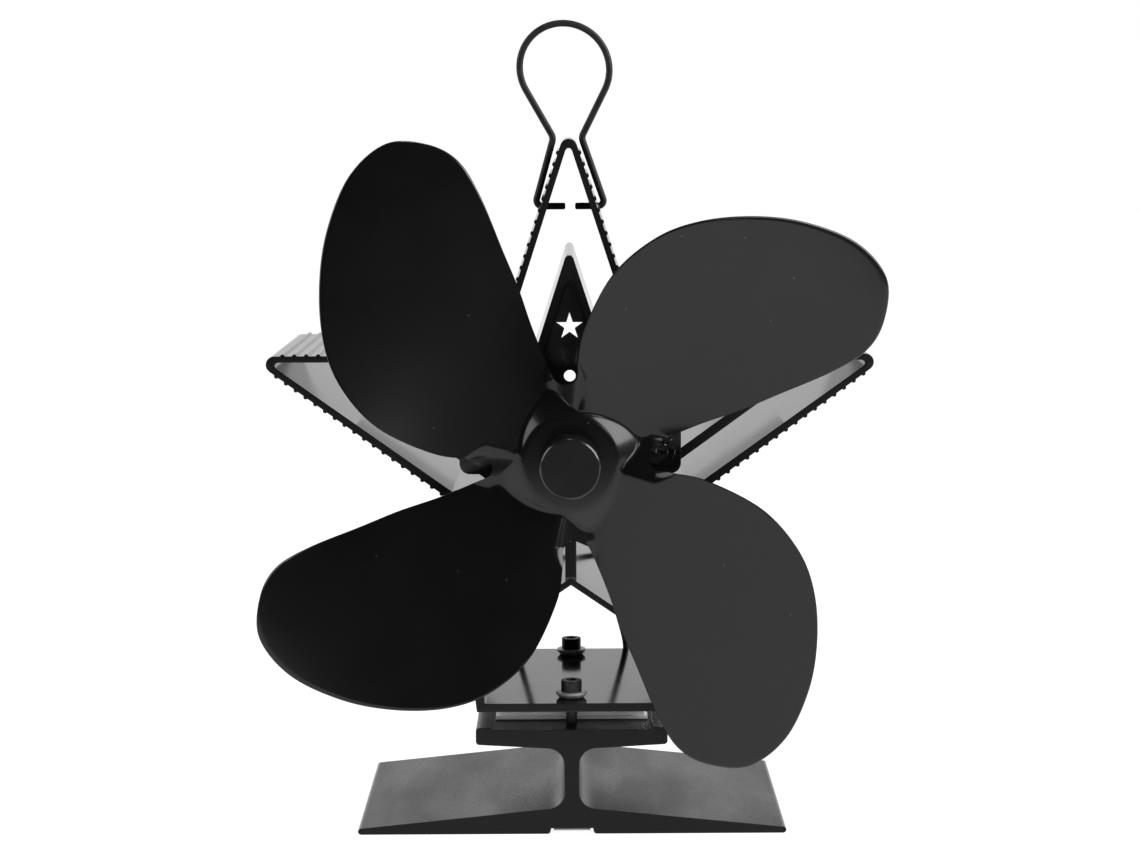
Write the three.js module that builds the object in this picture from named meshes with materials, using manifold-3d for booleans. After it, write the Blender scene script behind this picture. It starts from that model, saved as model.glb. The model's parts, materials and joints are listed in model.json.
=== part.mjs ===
import * as THREE from 'three'
import { mergeVertices } from 'three/addons/utils/BufferGeometryUtils.js'
import Module from 'manifold-3d'

// A heat-powered stove fan. A thermoelectric module is clamped between a black
// extruded foot and a black star-shaped heat sink, and it drives a small motor
// that turns one stamped four-blade fan. Millimetres, +Z up, the fan faces -Y.

const wasm = await Module()
wasm.setup()

// Clearances
const seatGap = 0.3
const runGap = 0.2
const stripGap = 0.15
const overrun = 2

// Both extrusions
const depth = 70
const front = -depth / 2
const back = depth / 2

// Thermoelectric module and its pads
const moduleSide = 40
const moduleForward = 4
const padThick = 0.25
const ceramicThick = 0.8
const coreThick = 2.65
const coreInset = 0.8
const coreSide = moduleSide - 2 * coreInset
const moduleStack = 2 * padThick + 2 * ceramicThick + coreThick

// Bimetal strip under the foot
const stripThick = 0.5
const stripSideGap = 0.65
const stripTail = 1
const stripScrewSetback = 23
const stripFrontInset = 0.5
const stripScrewRadius = 1.4
const stripScrewDepth = 4
const stripHeadRadius = 2.5
const stripHeadHeight = 0.55
const stripHeadRecess = 0.13

// Foot extrusion
const footWidth = 112.3
const footTip = 1.65
const footRoot = 7.1
const footTipRound = 0.5
const webThick = 3.9
const webFillet = 4.5
const deckTop = 27.75
const deckThick = 3.9
const deckTaper = 1.3
const deckRound = 1
const landGap = 1.1
const landWidth = 3.85
const landRise = 0.6
const grooveTop = 10.9
const grooveFlare = 0.35
const deckEndUnder = deckTop - deckThick
const deckRootUnder = deckEndUnder - deckTaper
const deckWidth = moduleSide + 2 * (landGap + landWidth)
const stripWidth = grooveTop - 2 * stripSideGap
const grooveDepth = stripThick + stripHeadHeight + 2 * stripGap + stripHeadRecess

// Heat sink extrusion
const plateMargin = 4.6
const plateThick = 2.25
const chamberHeight = 33.05
const roofWall = 1.6
const roofAngle = THREE.MathUtils.degToRad(34.4)
const starLift = 31
const starReach = 86.5
const starTipRound = 2.2
const starWall = 1.65
const starCavityRound = 0.85
const cavityRound = 0.4
const sideWall = 2.4
const ribThick = 2.9
const innerReach = 54.7
const innerLegReach = 38
const innerWall = 2.4
const innerTipRound = 1.1
const ridgeRise = 0.5
const ridgeFoot = 1.3
const ridgeCrest = 0.6
const ridgePitch = 3.05
const ridgeEndGap = 0.5
const portRadius = 2.9
const portDepth = 16
const plateWidth = moduleSide + 2 * plateMargin
const plateBottom = deckTop + moduleStack
const plateTop = plateBottom + plateThick
const roofTop = plateTop + chamberHeight
const starCentre = roofTop + starLift
const starTop = starCentre + starReach

// Fan axis
const axisLift = 1.2
const axisHeight = starCentre + axisLift

// Clamp screws through the lower plate
const clampInset = 7.5
const clampPlace = depth / 2 - clampInset
const clampShankRadius = 1.45
const clampHeadRadius = 2.7
const clampHeadHeight = 3
const clampHexRadius = 1.45
const clampHexDepth = 1.5
const clampBite = 5.4
const clampWasherRadius = 4.03
const clampWasherThick = 0.7
const bushFlangeThick = 1
const bushCollarRadius = 2.3
const bushCollarDepth = 1.6

// Motor bracket
const bracketThick = 1.5
const bracketInset = 2.3
const bracketDrop = 4.9
const bracketRound = 2.7
const bracketApexRound = 0.9
const bracketStarRise = 32.9
const bracketStarReach = 3.6
const bracketHoleRise = 20.3
const bracketHoleRadius = 1.5
const bracketScrewX = 22.8
const bracketScrewRise = 1.3
const bracketScrewEdge = 5.55
const bracketShankRadius = 1.2
const bracketShankLength = 12
const bracketHeadRadius = 2.2
const bracketHeadHeight = 1.8
const bracketSlotRadius = 1
const bracketSlotDepth = 0.9
const bracketWasherRadius = 4.1
const bracketWasherThick = 0.6
const bracketHalfWidth = bracketScrewX + bracketScrewEdge
const bracketScrewHeight = axisHeight + bracketScrewRise

// Motor
const canWall = 0.8
const canFloor = 1
const canSpare = 2.1
const canBossRadius = 4.5
const canBossLength = 1.5
const bearingRadius = 3
const bearingLength = 2.5
const shaftRadius = 1
const armatureRadius = 10.6
const armatureLength = 8.5
const armatureSetback = 3.5
const armatureHub = 3.2
const airGap = 0.6
const magnetThick = 2.2
const magnetLength = 13
const magnetSpan = THREE.MathUtils.degToRad(130)
const poleWidth = 3
const shoeThick = 1.2
const shoeSpan = THREE.MathUtils.degToRad(100)
const poleCount = 3
const coilHubGap = 0.8
const coilShoeGap = 0.7
const coilHalfWidth = 3.3
const coilOverhang = 1.2
const commutatorGap = 1
const commutatorRadius = 2.3
const commutatorLength = 3.2
const magnetInner = armatureRadius + airGap
const canRadius = magnetInner + magnetThick + seatGap + canWall
const commutatorSetback = armatureSetback + armatureLength + coilOverhang + commutatorGap
const canLength = commutatorSetback + commutatorLength + canSpare
const endCapThick = 2
const endBossRadius = 4.2
const endBossProud = 1
const brushX = 6
const brushThick = 0.5
const brushWidth = 2
const brushTail = 4
const motorScrewX = 8.5
const motorScrewShankRadius = 0.9
const motorScrewLength = 3.2
const motorScrewHeadRadius = 1.8
const motorScrewHeadHeight = 1.1
const motorScrewSlotRadius = 0.7
const motorScrewSlotDepth = 0.5

// Fan stamping, hub and cap
const fanStandOff = 13
const fanSheet = 0.9
const fanGroundGap = 8
const fanPhase = THREE.MathUtils.degToRad(14.5)
const bladeCount = 4
const pitchRoot = THREE.MathUtils.degToRad(24)
const pitchTip = THREE.MathUtils.degToRad(8)
const bladeHingeLine = 1.5
const bladeDroop = 7
const bossRadius = 12.1
const bossWallWidth = 5
const hubRise = 5.3
const capRadius = 7.55
const capLength = 10.7
const capChamfer = 0.45
const capBoreSpare = 1.5
const bushFlangeRadius = 7.6
const bushFlangeLength = 1.6
const bushBodyRadius = 4.4
const bushBodyLength = 6.5
const bushSpigotRadius = 2.5
const bushSpigotLength = 5.4
const grubRadius = 1.25
const grubLength = 2.6
const grubInset = 3.2
const fanPlane = front - fanStandOff
const fanRadius = axisHeight - fanGroundGap
const hubBore = bushSpigotRadius + seatGap
const hubFront = fanPlane - hubRise - fanSheet / 2
const capFront = hubFront - capLength

// Handle of bent wire
const wireRadius = 0.9
const handlePivotDrop = 23
const handleTipReach = 1.3
const handleLegStand = 2
const handleFootRound = 1.5
const handleNeckDrop = 4.8
const handleNeckHalf = 3.75
const handleNeckRound = 2.6
const handleLoopRise = 18.2
const handleLoopRadius = 11.9
const handleLean = THREE.MathUtils.degToRad(2.1)
const handlePivotHeight = starTop - handlePivotDrop
const handleNeckHeight = starTop - handleNeckDrop
const handleLoopHeight = handleNeckHeight + handleLoopRise

// Leads from the module to the motor
const leadRadius = 0.9
const leadStandOff = 3
const leadBack = back + leadStandOff

// How finely round shapes are cut
const roundSteps = 20
const smallRoundSteps = 12
const canSteps = 32
const filletSteps = 5
const cavitySteps = 3
const handleBendSteps = 6
const loopSteps = 24
const magnetSteps = 10
const shoeSteps = 8
const hexSides = 6
const wireSides = 8
const wireSteps = 110
const leadSteps = 42
const rimPointsPerShare = 1.5
const mergeGap = 1e-5

const finishes = {
  blackAnodised: { color: 0x17181a, roughness: 0.5, metalness: 0.7 },
  blackPaint: { color: 0x1d1e20, roughness: 0.42, metalness: 0.3 },
  blackWire: { color: 0x222325, roughness: 0.35, metalness: 0.6 },
  darkSteel: { color: 0x2c2d30, roughness: 0.35, metalness: 0.9 },
  steel: { color: 0xb9bbbd, roughness: 0.3, metalness: 1 },
  castSteel: { color: 0x6c6e70, roughness: 0.45, metalness: 1 },
  brass: { color: 0xb89550, roughness: 0.35, metalness: 1 },
  copper: { color: 0xa45a36, roughness: 0.4, metalness: 1 },
  bronze: { color: 0x8a6a3c, roughness: 0.5, metalness: 1 },
  ceramic: { color: 0xf0efea, roughness: 0.6, metalness: 0 },
  graphite: { color: 0x3a3b3d, roughness: 0.8, metalness: 0.1 },
  blackPlastic: { color: 0x1b1b1c, roughness: 0.55, metalness: 0 },
  leadSleeve: { color: 0x141414, roughness: 0.7, metalness: 0 },
  magnet: { color: 0x4a4744, roughness: 0.8, metalness: 0.1 }
}

// Every star here has five points, with the straight edges of a pentagram
const starPoints = [0, 1, 2, 3, 4]
const starStep = (2 * Math.PI) / starPoints.length
const starHalfTip = starStep / 4
const starValleyShare = Math.sin(starHalfTip) / Math.sin(3 * starHalfTip)
const handleLegFoot = handlePivotDrop * Math.tan(starHalfTip) + handleLegStand
const up = Math.PI / 2
const sides = [['left', -1], ['right', 1]]
const signs = [-1, 1]

// Closed geometry with merged corners and its faces pointing out
function closed(geometry) {
  geometry.deleteAttribute('normal')
  geometry.deleteAttribute('uv')
  const merged = mergeVertices(geometry, mergeGap)
  const p = merged.attributes.position
  const index = Array.from(merged.index.array)
  const kept = []
  let volume = 0
  const a = new THREE.Vector3()
  const b = new THREE.Vector3()
  const c = new THREE.Vector3()
  for (let i = 0; i < index.length; i += 3) {
    const [u, v, w] = index.slice(i, i + 3)
    if (u === v || v === w || w === u) continue
    kept.push(u, v, w)
    a.fromBufferAttribute(p, u)
    b.fromBufferAttribute(p, v)
    c.fromBufferAttribute(p, w)
    volume += a.dot(b.cross(c))
  }
  if (volume < 0) kept.reverse()
  merged.setIndex(kept)
  return merged
}

function solid(geometry) {
  const ready = closed(geometry)
  const vertProperties = new Float32Array(ready.attributes.position.array)
  const triVerts = new Uint32Array(ready.index.array)
  return new wasm.Manifold(new wasm.Mesh({ numProp: 3, vertProperties, triVerts }))
}

function surface(body) {
  const mesh = body.getMesh()
  const geometry = new THREE.BufferGeometry()
  const places = new Float32Array(mesh.vertProperties)
  geometry.setAttribute('position', new THREE.BufferAttribute(places, 3))
  geometry.setIndex(new THREE.BufferAttribute(new Uint32Array(mesh.triVerts), 1))
  return geometry
}

const join = (bodies) => bodies.reduce((sum, body) => sum.add(body))
const cut = (body, tools) => tools.reduce((rest, tool) => rest.subtract(tool), body)

// Outline helpers: points are [x, z] seen from the front
const polar = (radius, angle, height = 0) => [
  radius * Math.cos(angle),
  height + radius * Math.sin(angle)
]
const mirrored = (points) => points.map(([x, z, round]) => [-x, z, round]).reverse()

// Corners [x, z, radius] become points, with an arc at each corner that has a radius
function rounded(corners, steps = filletSteps) {
  const points = []
  corners.forEach(([x, z, radius], i) => {
    const corner = new THREE.Vector2(x, z)
    const before = corners[(i + corners.length - 1) % corners.length]
    const after = corners[(i + 1) % corners.length]
    if (!radius) {
      points.push([x, z])
      return
    }
    const a = new THREE.Vector2(before[0], before[1]).sub(corner).normalize()
    const b = new THREE.Vector2(after[0], after[1]).sub(corner).normalize()
    const half = Math.acos(THREE.MathUtils.clamp(a.dot(b), -1, 1)) / 2
    const reach = radius / Math.tan(half)
    const centre = a.clone().add(b).normalize().multiplyScalar(radius / Math.sin(half)).add(corner)
    const start = corner.clone().addScaledVector(a, reach).sub(centre)
    const end = corner.clone().addScaledVector(b, reach).sub(centre)
    let turn = end.angle() - start.angle()
    if (turn > Math.PI) turn -= 2 * Math.PI
    if (turn < -Math.PI) turn += 2 * Math.PI
    for (let k = 0; k <= steps; k += 1) {
      const angle = start.angle() + (turn * k) / steps
      points.push([centre.x + radius * Math.cos(angle), centre.y + radius * Math.sin(angle)])
    }
  })
  return points
}

// Ridges stand on the straight run from point a to point b of an anticlockwise outline
function ridges(a, b) {
  const from = new THREE.Vector2(a[0], a[1])
  const along = new THREE.Vector2(b[0], b[1]).sub(from)
  const length = along.length()
  along.normalize()
  const out = new THREE.Vector2(along.y, -along.x)
  const points = []
  const profile = [
    [-ridgeFoot / 2, 0],
    [-ridgeCrest / 2, ridgeRise],
    [ridgeCrest / 2, ridgeRise],
    [ridgeFoot / 2, 0]
  ]
  const count = Math.floor((length - 2 * ridgeEndGap) / ridgePitch)
  for (let k = 0; k < count; k += 1) {
    const middle = length / 2 + (k - (count - 1) / 2) * ridgePitch
    for (const [s, rise] of profile) {
      const point = from.clone().addScaledVector(along, middle + s).addScaledVector(out, rise)
      points.push([point.x, point.y])
    }
  }
  return points
}

// A prism of an outline, from y0 at the front to y1 at the back
function prism(points, y0, y1) {
  const shape = new THREE.Shape(points.map(([x, z]) => new THREE.Vector2(x, z)))
  const body = new THREE.ExtrudeGeometry(shape, { depth: y1 - y0, bevelEnabled: false })
  return solid(body.rotateX(Math.PI / 2).translate(0, y1, 0))
}

// Cylinders along each axis, from one end to the other
function along(axis, radius, from, to, place, steps = roundSteps) {
  const body = new THREE.CylinderGeometry(radius, radius, to - from, steps)
  body.translate(0, (from + to) / 2, 0)
  if (axis === 'x') body.rotateZ(-Math.PI / 2)
  if (axis === 'z') body.rotateX(Math.PI / 2)
  return solid(body.translate(...place))
}

const rodX = (radius, x0, x1, y, z, steps) => along('x', radius, x0, x1, [0, y, z], steps)
const rodY = (radius, y0, y1, x, z, steps) => along('y', radius, y0, y1, [x, 0, z], steps)
const rodZ = (radius, z0, z1, x, y, steps) => along('z', radius, z0, z1, [x, y, 0], steps)

function block(x0, x1, y0, y1, z0, z1) {
  const body = new THREE.BoxGeometry(x1 - x0, y1 - y0, z1 - z0)
  return solid(body.translate((x0 + x1) / 2, (y0 + y1) / 2, (z0 + z1) / 2))
}

// A turned piece about the fan axis: profile points are [radius, y]
function turned(profile, steps = roundSteps) {
  const points = profile.map(([radius, y]) => new THREE.Vector2(radius, y))
  points.push(points[0].clone())
  return solid(new THREE.LatheGeometry(points, steps).translate(0, 0, axisHeight))
}

const parts = new THREE.Group()

function add(name, body, finish) {
  const mesh = new THREE.Mesh(surface(body), new THREE.MeshStandardMaterial(finishes[finish]))
  mesh.name = name
  parts.add(mesh)
}

// Foot: a wide tapering flange, a web and a deck with two raised lands
function footBody() {
  const half = [
    [grooveTop / 2, grooveDepth],
    [grooveTop / 2 + grooveFlare, 0],
    [footWidth / 2, 0, footTipRound],
    [footWidth / 2 - footTipRound, footTip],
    [webThick / 2, footRoot, webFillet],
    [webThick / 2, deckRootUnder, webFillet],
    [deckWidth / 2, deckEndUnder, deckRound],
    [deckWidth / 2, deckTop + landRise],
    [deckWidth / 2 - landWidth, deckTop + landRise],
    [deckWidth / 2 - landWidth, deckTop]
  ]
  const profile = prism(rounded([...half, ...mirrored(half)]), front, back)
  const holes = signs.map((s) => rodZ(clampShankRadius + seatGap,
    deckTop - clampBite - seatGap, deckTop + overrun, 0, s * clampPlace, smallRoundSteps))
  const stripHole = rodZ(stripScrewRadius + seatGap, -overrun, stripScrewDepth + seatGap,
    0, front + stripScrewSetback, smallRoundSteps)
  return cut(profile, [...holes, stripHole])
}

// Star points: tip k and the valley that follows it, anticlockwise from the top
const tip = (k, reach) => polar(reach, up + k * starStep, starCentre)
const valley = (k, reach) => polar(reach * starValleyShare, up + (k + 0.5) * starStep, starCentre)
const insetReach = (reach, wall) => reach - wall / Math.sin(starHalfTip)
const tipCorner = (k, reach, round) => [...tip(k, reach), round]

// The sink seen from the front: three ridged arms above two straight side walls
function sinkOutline() {
  const corners = [
    tipCorner(0, starReach, starTipRound),
    valley(0, starReach),
    tipCorner(1, starReach, starTipRound),
    valley(1, starReach),
    [-plateWidth / 2, plateBottom],
    [plateWidth / 2, plateBottom],
    valley(3, starReach),
    tipCorner(4, starReach, starTipRound),
    valley(4, starReach)
  ]
  const plainRuns = [3, 4, 5]
  const roundReach = starTipRound / Math.tan(starHalfTip)
  const towards = (from, to, distance) => {
    const line = new THREE.Vector2(to[0] - from[0], to[1] - from[1]).setLength(distance)
    return [from[0] + line.x, from[1] + line.y]
  }
  return corners.flatMap((corner, i) => {
    const before = corners[(i + corners.length - 1) % corners.length]
    const next = corners[(i + 1) % corners.length]
    const turn = corner[2] ? rounded([before, corner, next]).slice(1, -1) : [corner.slice(0, 2)]
    if (plainRuns.includes(i)) return turn
    const start = corner[2] ? towards(corner, next, roundReach) : corner
    const end = next[2] ? towards(next, corner, roundReach) : next
    return [...turn, ...ridges(start, end)]
  })
}

function heatSinkBody() {
  // Inner faces of the side walls, parallel to the outer ones
  const side = new THREE.Vector2(plateWidth / 2, plateBottom)
  const shoulder = new THREE.Vector2(...valley(3, starReach))
  const lean = (shoulder.x - side.x) / (shoulder.y - side.y)
  const wallShift = sideWall * Math.hypot(1, lean)
  const innerSideX = (z) => side.x + (z - side.y) * lean - wallShift
  const meetRoof = (ridge) => {
    const slope = Math.tan(roofAngle)
    const z = (ridge - slope * (innerSideX(0))) / (1 + slope * lean)
    return [innerSideX(z), z]
  }
  const open = insetReach(starReach, starWall)
  const roofUnder = roofTop - roofWall / Math.cos(roofAngle)
  const shoulderInner = valley(3, open)
  const upperHalf = [
    [shoulderInner[0] - (sideWall - starWall), shoulderInner[1], 0],
    tipCorner(4, open, starCavityRound),
    valley(4, open)
  ]
  const upper = prism(rounded([
    [0, roofTop],
    [...meetRoof(roofTop), cavityRound],
    ...upperHalf,
    tipCorner(0, open, starCavityRound),
    ...mirrored(upperHalf),
    [-meetRoof(roofTop)[0], meetRoof(roofTop)[1], cavityRound]
  ], cavitySteps), front - overrun, back + overrun)
  const chamberHalf = [
    [innerSideX(plateTop), plateTop, cavityRound],
    [...meetRoof(roofUnder), cavityRound]
  ]
  const chamber = prism(rounded([
    ...chamberHalf,
    [0, roofUnder],
    ...mirrored(chamberHalf)
  ], cavitySteps), front - overrun, back + overrun)

  // Inner star with two short lower legs, tied to the outer walls by five ribs
  const innerOutline = (wall, round) => {
    const reach = insetReach(innerReach, wall)
    const leg = innerLegReach - wall / Math.sin(starHalfTip * 2)
    return rounded(starPoints.flatMap((k) => [
      tipCorner(k, k === 2 || k === 3 ? leg : reach, round),
      valley(k, reach)
    ]), cavitySteps)
  }
  const innerStar = prism(innerOutline(0, innerTipRound), front, back)
  const innerHollow = prism(innerOutline(innerWall, starCavityRound), front - overrun, back + overrun)
  const ribs = starPoints.map((k) => {
    const end = k === 2 ? starLift : starReach * starValleyShare
    const bar = new THREE.BoxGeometry(end, depth, ribThick).translate(end / 2, 0, 0)
    bar.rotateY(-(up + (k + 0.5) * starStep))
    return solid(bar.translate(0, 0, starCentre))
  })
  const ports = signs.map((s) => {
    const post = rodY(portRadius, front, front + portDepth, s * bracketScrewX, bracketScrewHeight,
      smallRoundSteps)
    const stem = block(s * bracketScrewX - portRadius / 2, s * bracketScrewX + portRadius / 2,
      front, front + portDepth, valley(3, innerReach)[1], bracketScrewHeight)
    return post.add(stem.intersect(innerStar))
  })
  const bores = signs.map((s) => rodY(bracketShankRadius + seatGap, front - overrun,
    front + portDepth - overrun, s * bracketScrewX, bracketScrewHeight, smallRoundSteps))
  const clampHoles = signs.map((s) => rodZ(bushCollarRadius + seatGap, plateBottom - overrun,
    plateTop + overrun, 0, s * clampPlace, smallRoundSteps))
  const pivotHole = rodX(wireRadius + seatGap, -handleLegFoot, handleLegFoot, 0,
    handlePivotHeight, smallRoundSteps)

  const shell = cut(prism(sinkOutline(), front, back), [upper, chamber])
  const framed = cut(join([shell, innerStar, ...ribs]), [innerHollow])
  return cut(join([framed, ...ports]), [...bores, ...clampHoles, pivotHole])
}

// Cap screw with its head up and its underside at the given height
function capScrew(size) {
  const { x, y, under, shank, length, head, height, hex, hexDepth } = size
  const body = join([
    rodZ(shank, under - length, under + height / 2, x, y, smallRoundSteps),
    rodZ(head, under, under + height, x, y, roundSteps)
  ])
  return cut(body, [rodZ(hex, under + height - hexDepth, under + height + overrun, x, y, hexSides)])
}

// Screw that points backwards, with the underside of its head at y
function frontScrew(size) {
  const { x, z, under, shank, length, head, height, slot, slotDepth } = size
  const body = join([
    rodY(shank, under - height / 2, under + length, x, z, smallRoundSteps),
    rodY(head, under - height, under, x, z, roundSteps)
  ])
  return cut(body, [rodY(slot, under - height - overrun, under - height + slotDepth, x, z, hexSides)])
}

function addFoot() {
  add('base_foot', footBody(), 'blackAnodised')
  const screwY = front + stripScrewSetback
  const stripTop = grooveDepth - stripGap
  const strip = block(-stripWidth / 2, stripWidth / 2, front + stripFrontInset,
    screwY + stripHeadRadius + stripTail, stripTop - stripThick, stripTop)
  const stripHole = rodZ(stripScrewRadius + seatGap, -overrun, grooveDepth + overrun, 0, screwY,
    smallRoundSteps)
  add('bimetal_strip', cut(strip, [stripHole]), 'steel')
  const headTop = stripTop - stripThick - stripGap
  const head = rodZ(stripHeadRadius, headTop - stripHeadHeight, headTop, 0, screwY)
  const shank = rodZ(stripScrewRadius, headTop - stripHeadHeight / 2, stripScrewDepth, 0, screwY,
    smallRoundSteps)
  add('bimetal_screw', head.add(shank), 'darkSteel')
}

function addModule() {
  const layers = [
    ['thermal_pad_lower', padThick, moduleSide, 'graphite'],
    ['teg_hot_plate', ceramicThick, moduleSide, 'ceramic'],
    ['teg_core', coreThick, coreSide, 'ceramic'],
    ['teg_cold_plate', ceramicThick, moduleSide, 'ceramic'],
    ['thermal_pad_upper', padThick, moduleSide, 'graphite']
  ]
  let z = deckTop
  for (const [name, thick, width, finish] of layers) {
    const half = width / 2
    add(name, block(-half, half, -half - moduleForward, half - moduleForward, z, z + thick), finish)
    z += thick
  }
}

function addClamps() {
  const places = [['front', -clampPlace], ['rear', clampPlace]]
  for (const [name, y] of places) {
    const flange = rodZ(clampWasherRadius, plateTop, plateTop + bushFlangeThick, 0, y)
    const collar = rodZ(bushCollarRadius, plateTop - bushCollarDepth,
      plateTop + bushFlangeThick / 2, 0, y, smallRoundSteps)
    const bore = rodZ(clampShankRadius + seatGap, plateBottom, plateTop + overrun, 0, y,
      smallRoundSteps)
    add(`insulating_washer_${name}`, cut(flange.add(collar), [bore]), 'blackPlastic')
    const washerBottom = plateTop + bushFlangeThick
    const washerTop = washerBottom + clampWasherThick
    const washer = rodZ(clampWasherRadius, washerBottom, washerTop, 0, y)
    const washerBore = rodZ(clampShankRadius + seatGap, washerBottom - overrun,
      washerTop + overrun, 0, y, smallRoundSteps)
    add(`clamp_washer_${name}`, cut(washer, [washerBore]), 'steel')
    add(`clamp_screw_${name}`, capScrew({
      x: 0,
      y,
      under: washerTop,
      shank: clampShankRadius,
      length: washerTop - deckTop + clampBite,
      head: clampHeadRadius,
      height: clampHeadHeight,
      hex: clampHexRadius,
      hexDepth: clampHexDepth
    }), 'darkSteel')
  }
}

const bracketFront = front - bracketThick

function addBracket() {
  const reach = insetReach(innerReach, bracketInset)
  const wing = valley(4, reach)
  const half = [
    [bracketHalfWidth, axisHeight - bracketDrop, bracketRound],
    [bracketHalfWidth, wing[1], bracketRound],
    wing
  ]
  const outline = rounded([...half, tipCorner(0, reach, bracketApexRound), ...mirrored(half)])
  const starHeight = axisHeight + bracketStarRise
  const starHole = starPoints.flatMap((k) => [
    polar(bracketStarReach, up + k * starStep, starHeight),
    polar(bracketStarReach * starValleyShare, up + (k + 0.5) * starStep, starHeight)
  ])
  const y0 = bracketFront - overrun
  const y1 = front + overrun
  add('motor_bracket', cut(prism(outline, bracketFront, front), [
    prism(starHole, y0, y1),
    rodY(bracketHoleRadius, y0, y1, 0, axisHeight + bracketHoleRise),
    rodY(canBossRadius + seatGap, y0, y1, 0, axisHeight),
    ...signs.map((s) => rodY(bracketShankRadius + seatGap, y0, y1, s * bracketScrewX,
      bracketScrewHeight, smallRoundSteps)),
    ...signs.map((s) => rodY(motorScrewShankRadius + seatGap, y0, y1, s * motorScrewX,
      axisHeight, smallRoundSteps))
  ]), 'blackPaint')

  for (const [name, s] of sides) {
    const x = s * bracketScrewX
    const washerFront = bracketFront - bracketWasherThick
    const washer = rodY(bracketWasherRadius, washerFront, bracketFront, x, bracketScrewHeight)
    const bore = rodY(bracketShankRadius + seatGap, washerFront - overrun, front, x,
      bracketScrewHeight, smallRoundSteps)
    add(`bracket_washer_${name}`, cut(washer, [bore]), 'darkSteel')
    add(`bracket_screw_${name}`, frontScrew({
      x,
      z: bracketScrewHeight,
      under: washerFront,
      shank: bracketShankRadius,
      length: bracketShankLength,
      head: bracketHeadRadius,
      height: bracketHeadHeight,
      slot: bracketSlotRadius,
      slotDepth: bracketSlotDepth
    }), 'darkSteel')
    add(`motor_screw_${name}`, frontScrew({
      x: s * motorScrewX,
      z: axisHeight,
      under: bracketFront,
      shank: motorScrewShankRadius,
      length: motorScrewLength,
      head: motorScrewHeadRadius,
      height: motorScrewHeadHeight,
      slot: motorScrewSlotRadius,
      slotDepth: motorScrewSlotDepth
    }), 'darkSteel')
  }
}

const canBack = front + canLength
const endCapBack = canBack + endCapThick

// A sector of a ring about the fan axis
function ringSector(inner, outer, middle, span, y0, y1, steps) {
  const arc = (radius) => Array.from({ length: steps + 1 },
    (_, k) => polar(radius, middle + span * (k / steps - 0.5), axisHeight))
  return prism([...arc(outer), ...arc(inner).reverse()], y0, y1)
}

function addMotor() {
  const bearingSeat = bearingRadius + seatGap
  const boreRadius = shaftRadius + runGap
  const can = turned([
    [bearingSeat, front - canBossLength],
    [canBossRadius, front - canBossLength],
    [canBossRadius, front],
    [canRadius, front],
    [canRadius, canBack],
    [canRadius - canWall, canBack],
    [canRadius - canWall, front + canFloor],
    [bearingSeat, front + canFloor]
  ], canSteps)
  const canHoles = signs.map((s) => rodY(motorScrewShankRadius + seatGap, front - overrun,
    front + overrun, s * motorScrewX, axisHeight, smallRoundSteps))
  add('motor_can', cut(can, canHoles), 'castSteel')

  const rearBossBack = endCapBack + endBossProud
  const endCap = turned([
    [bearingSeat, canBack],
    [canRadius, canBack],
    [canRadius, endCapBack],
    [endBossRadius, endCapBack],
    [endBossRadius, rearBossBack],
    [bearingSeat, rearBossBack]
  ], canSteps)
  const slots = signs.map((s) => block(
    s * brushX - brushThick / 2 - seatGap, s * brushX + brushThick / 2 + seatGap,
    canBack - overrun, endCapBack + overrun,
    axisHeight - brushWidth / 2 - seatGap, axisHeight + brushWidth / 2 + seatGap))
  add('motor_end_cap', cut(endCap, slots), 'blackPlastic')

  const bearings = [
    ['motor_bearing_front', front - canBossLength],
    ['motor_bearing_rear', rearBossBack - bearingLength]
  ]
  for (const [name, y] of bearings) {
    add(name, turned([
      [boreRadius, y],
      [bearingRadius, y],
      [bearingRadius, y + bearingLength],
      [boreRadius, y + bearingLength]
    ]), 'bronze')
  }

  const magnetOuter = canRadius - canWall - seatGap
  const magnetFront = front + canFloor + seatGap
  for (const [name, middle] of [['upper', up], ['lower', -up]]) {
    add(`motor_magnet_${name}`, ringSector(magnetInner, magnetOuter, middle, magnetSpan,
      magnetFront, magnetFront + magnetLength, magnetSteps), 'magnet')
  }

  const brushFront = front + commutatorSetback + commutatorLength / 2
  for (const [name, s] of sides) {
    const outer = brushX + brushThick / 2
    const blade = block(s > 0 ? outer - brushThick : -outer, s > 0 ? outer : brushThick - outer,
      brushFront, endCapBack + brushTail, axisHeight - brushWidth / 2, axisHeight + brushWidth / 2)
    const near = commutatorRadius + runGap
    const arm = block(s > 0 ? near : -outer, s > 0 ? outer : -near,
      brushFront, brushFront + brushThick, axisHeight - brushWidth / 2, axisHeight + brushWidth / 2)
    add(`motor_brush_${name}`, blade.add(arm), 'brass')
  }
}

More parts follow.
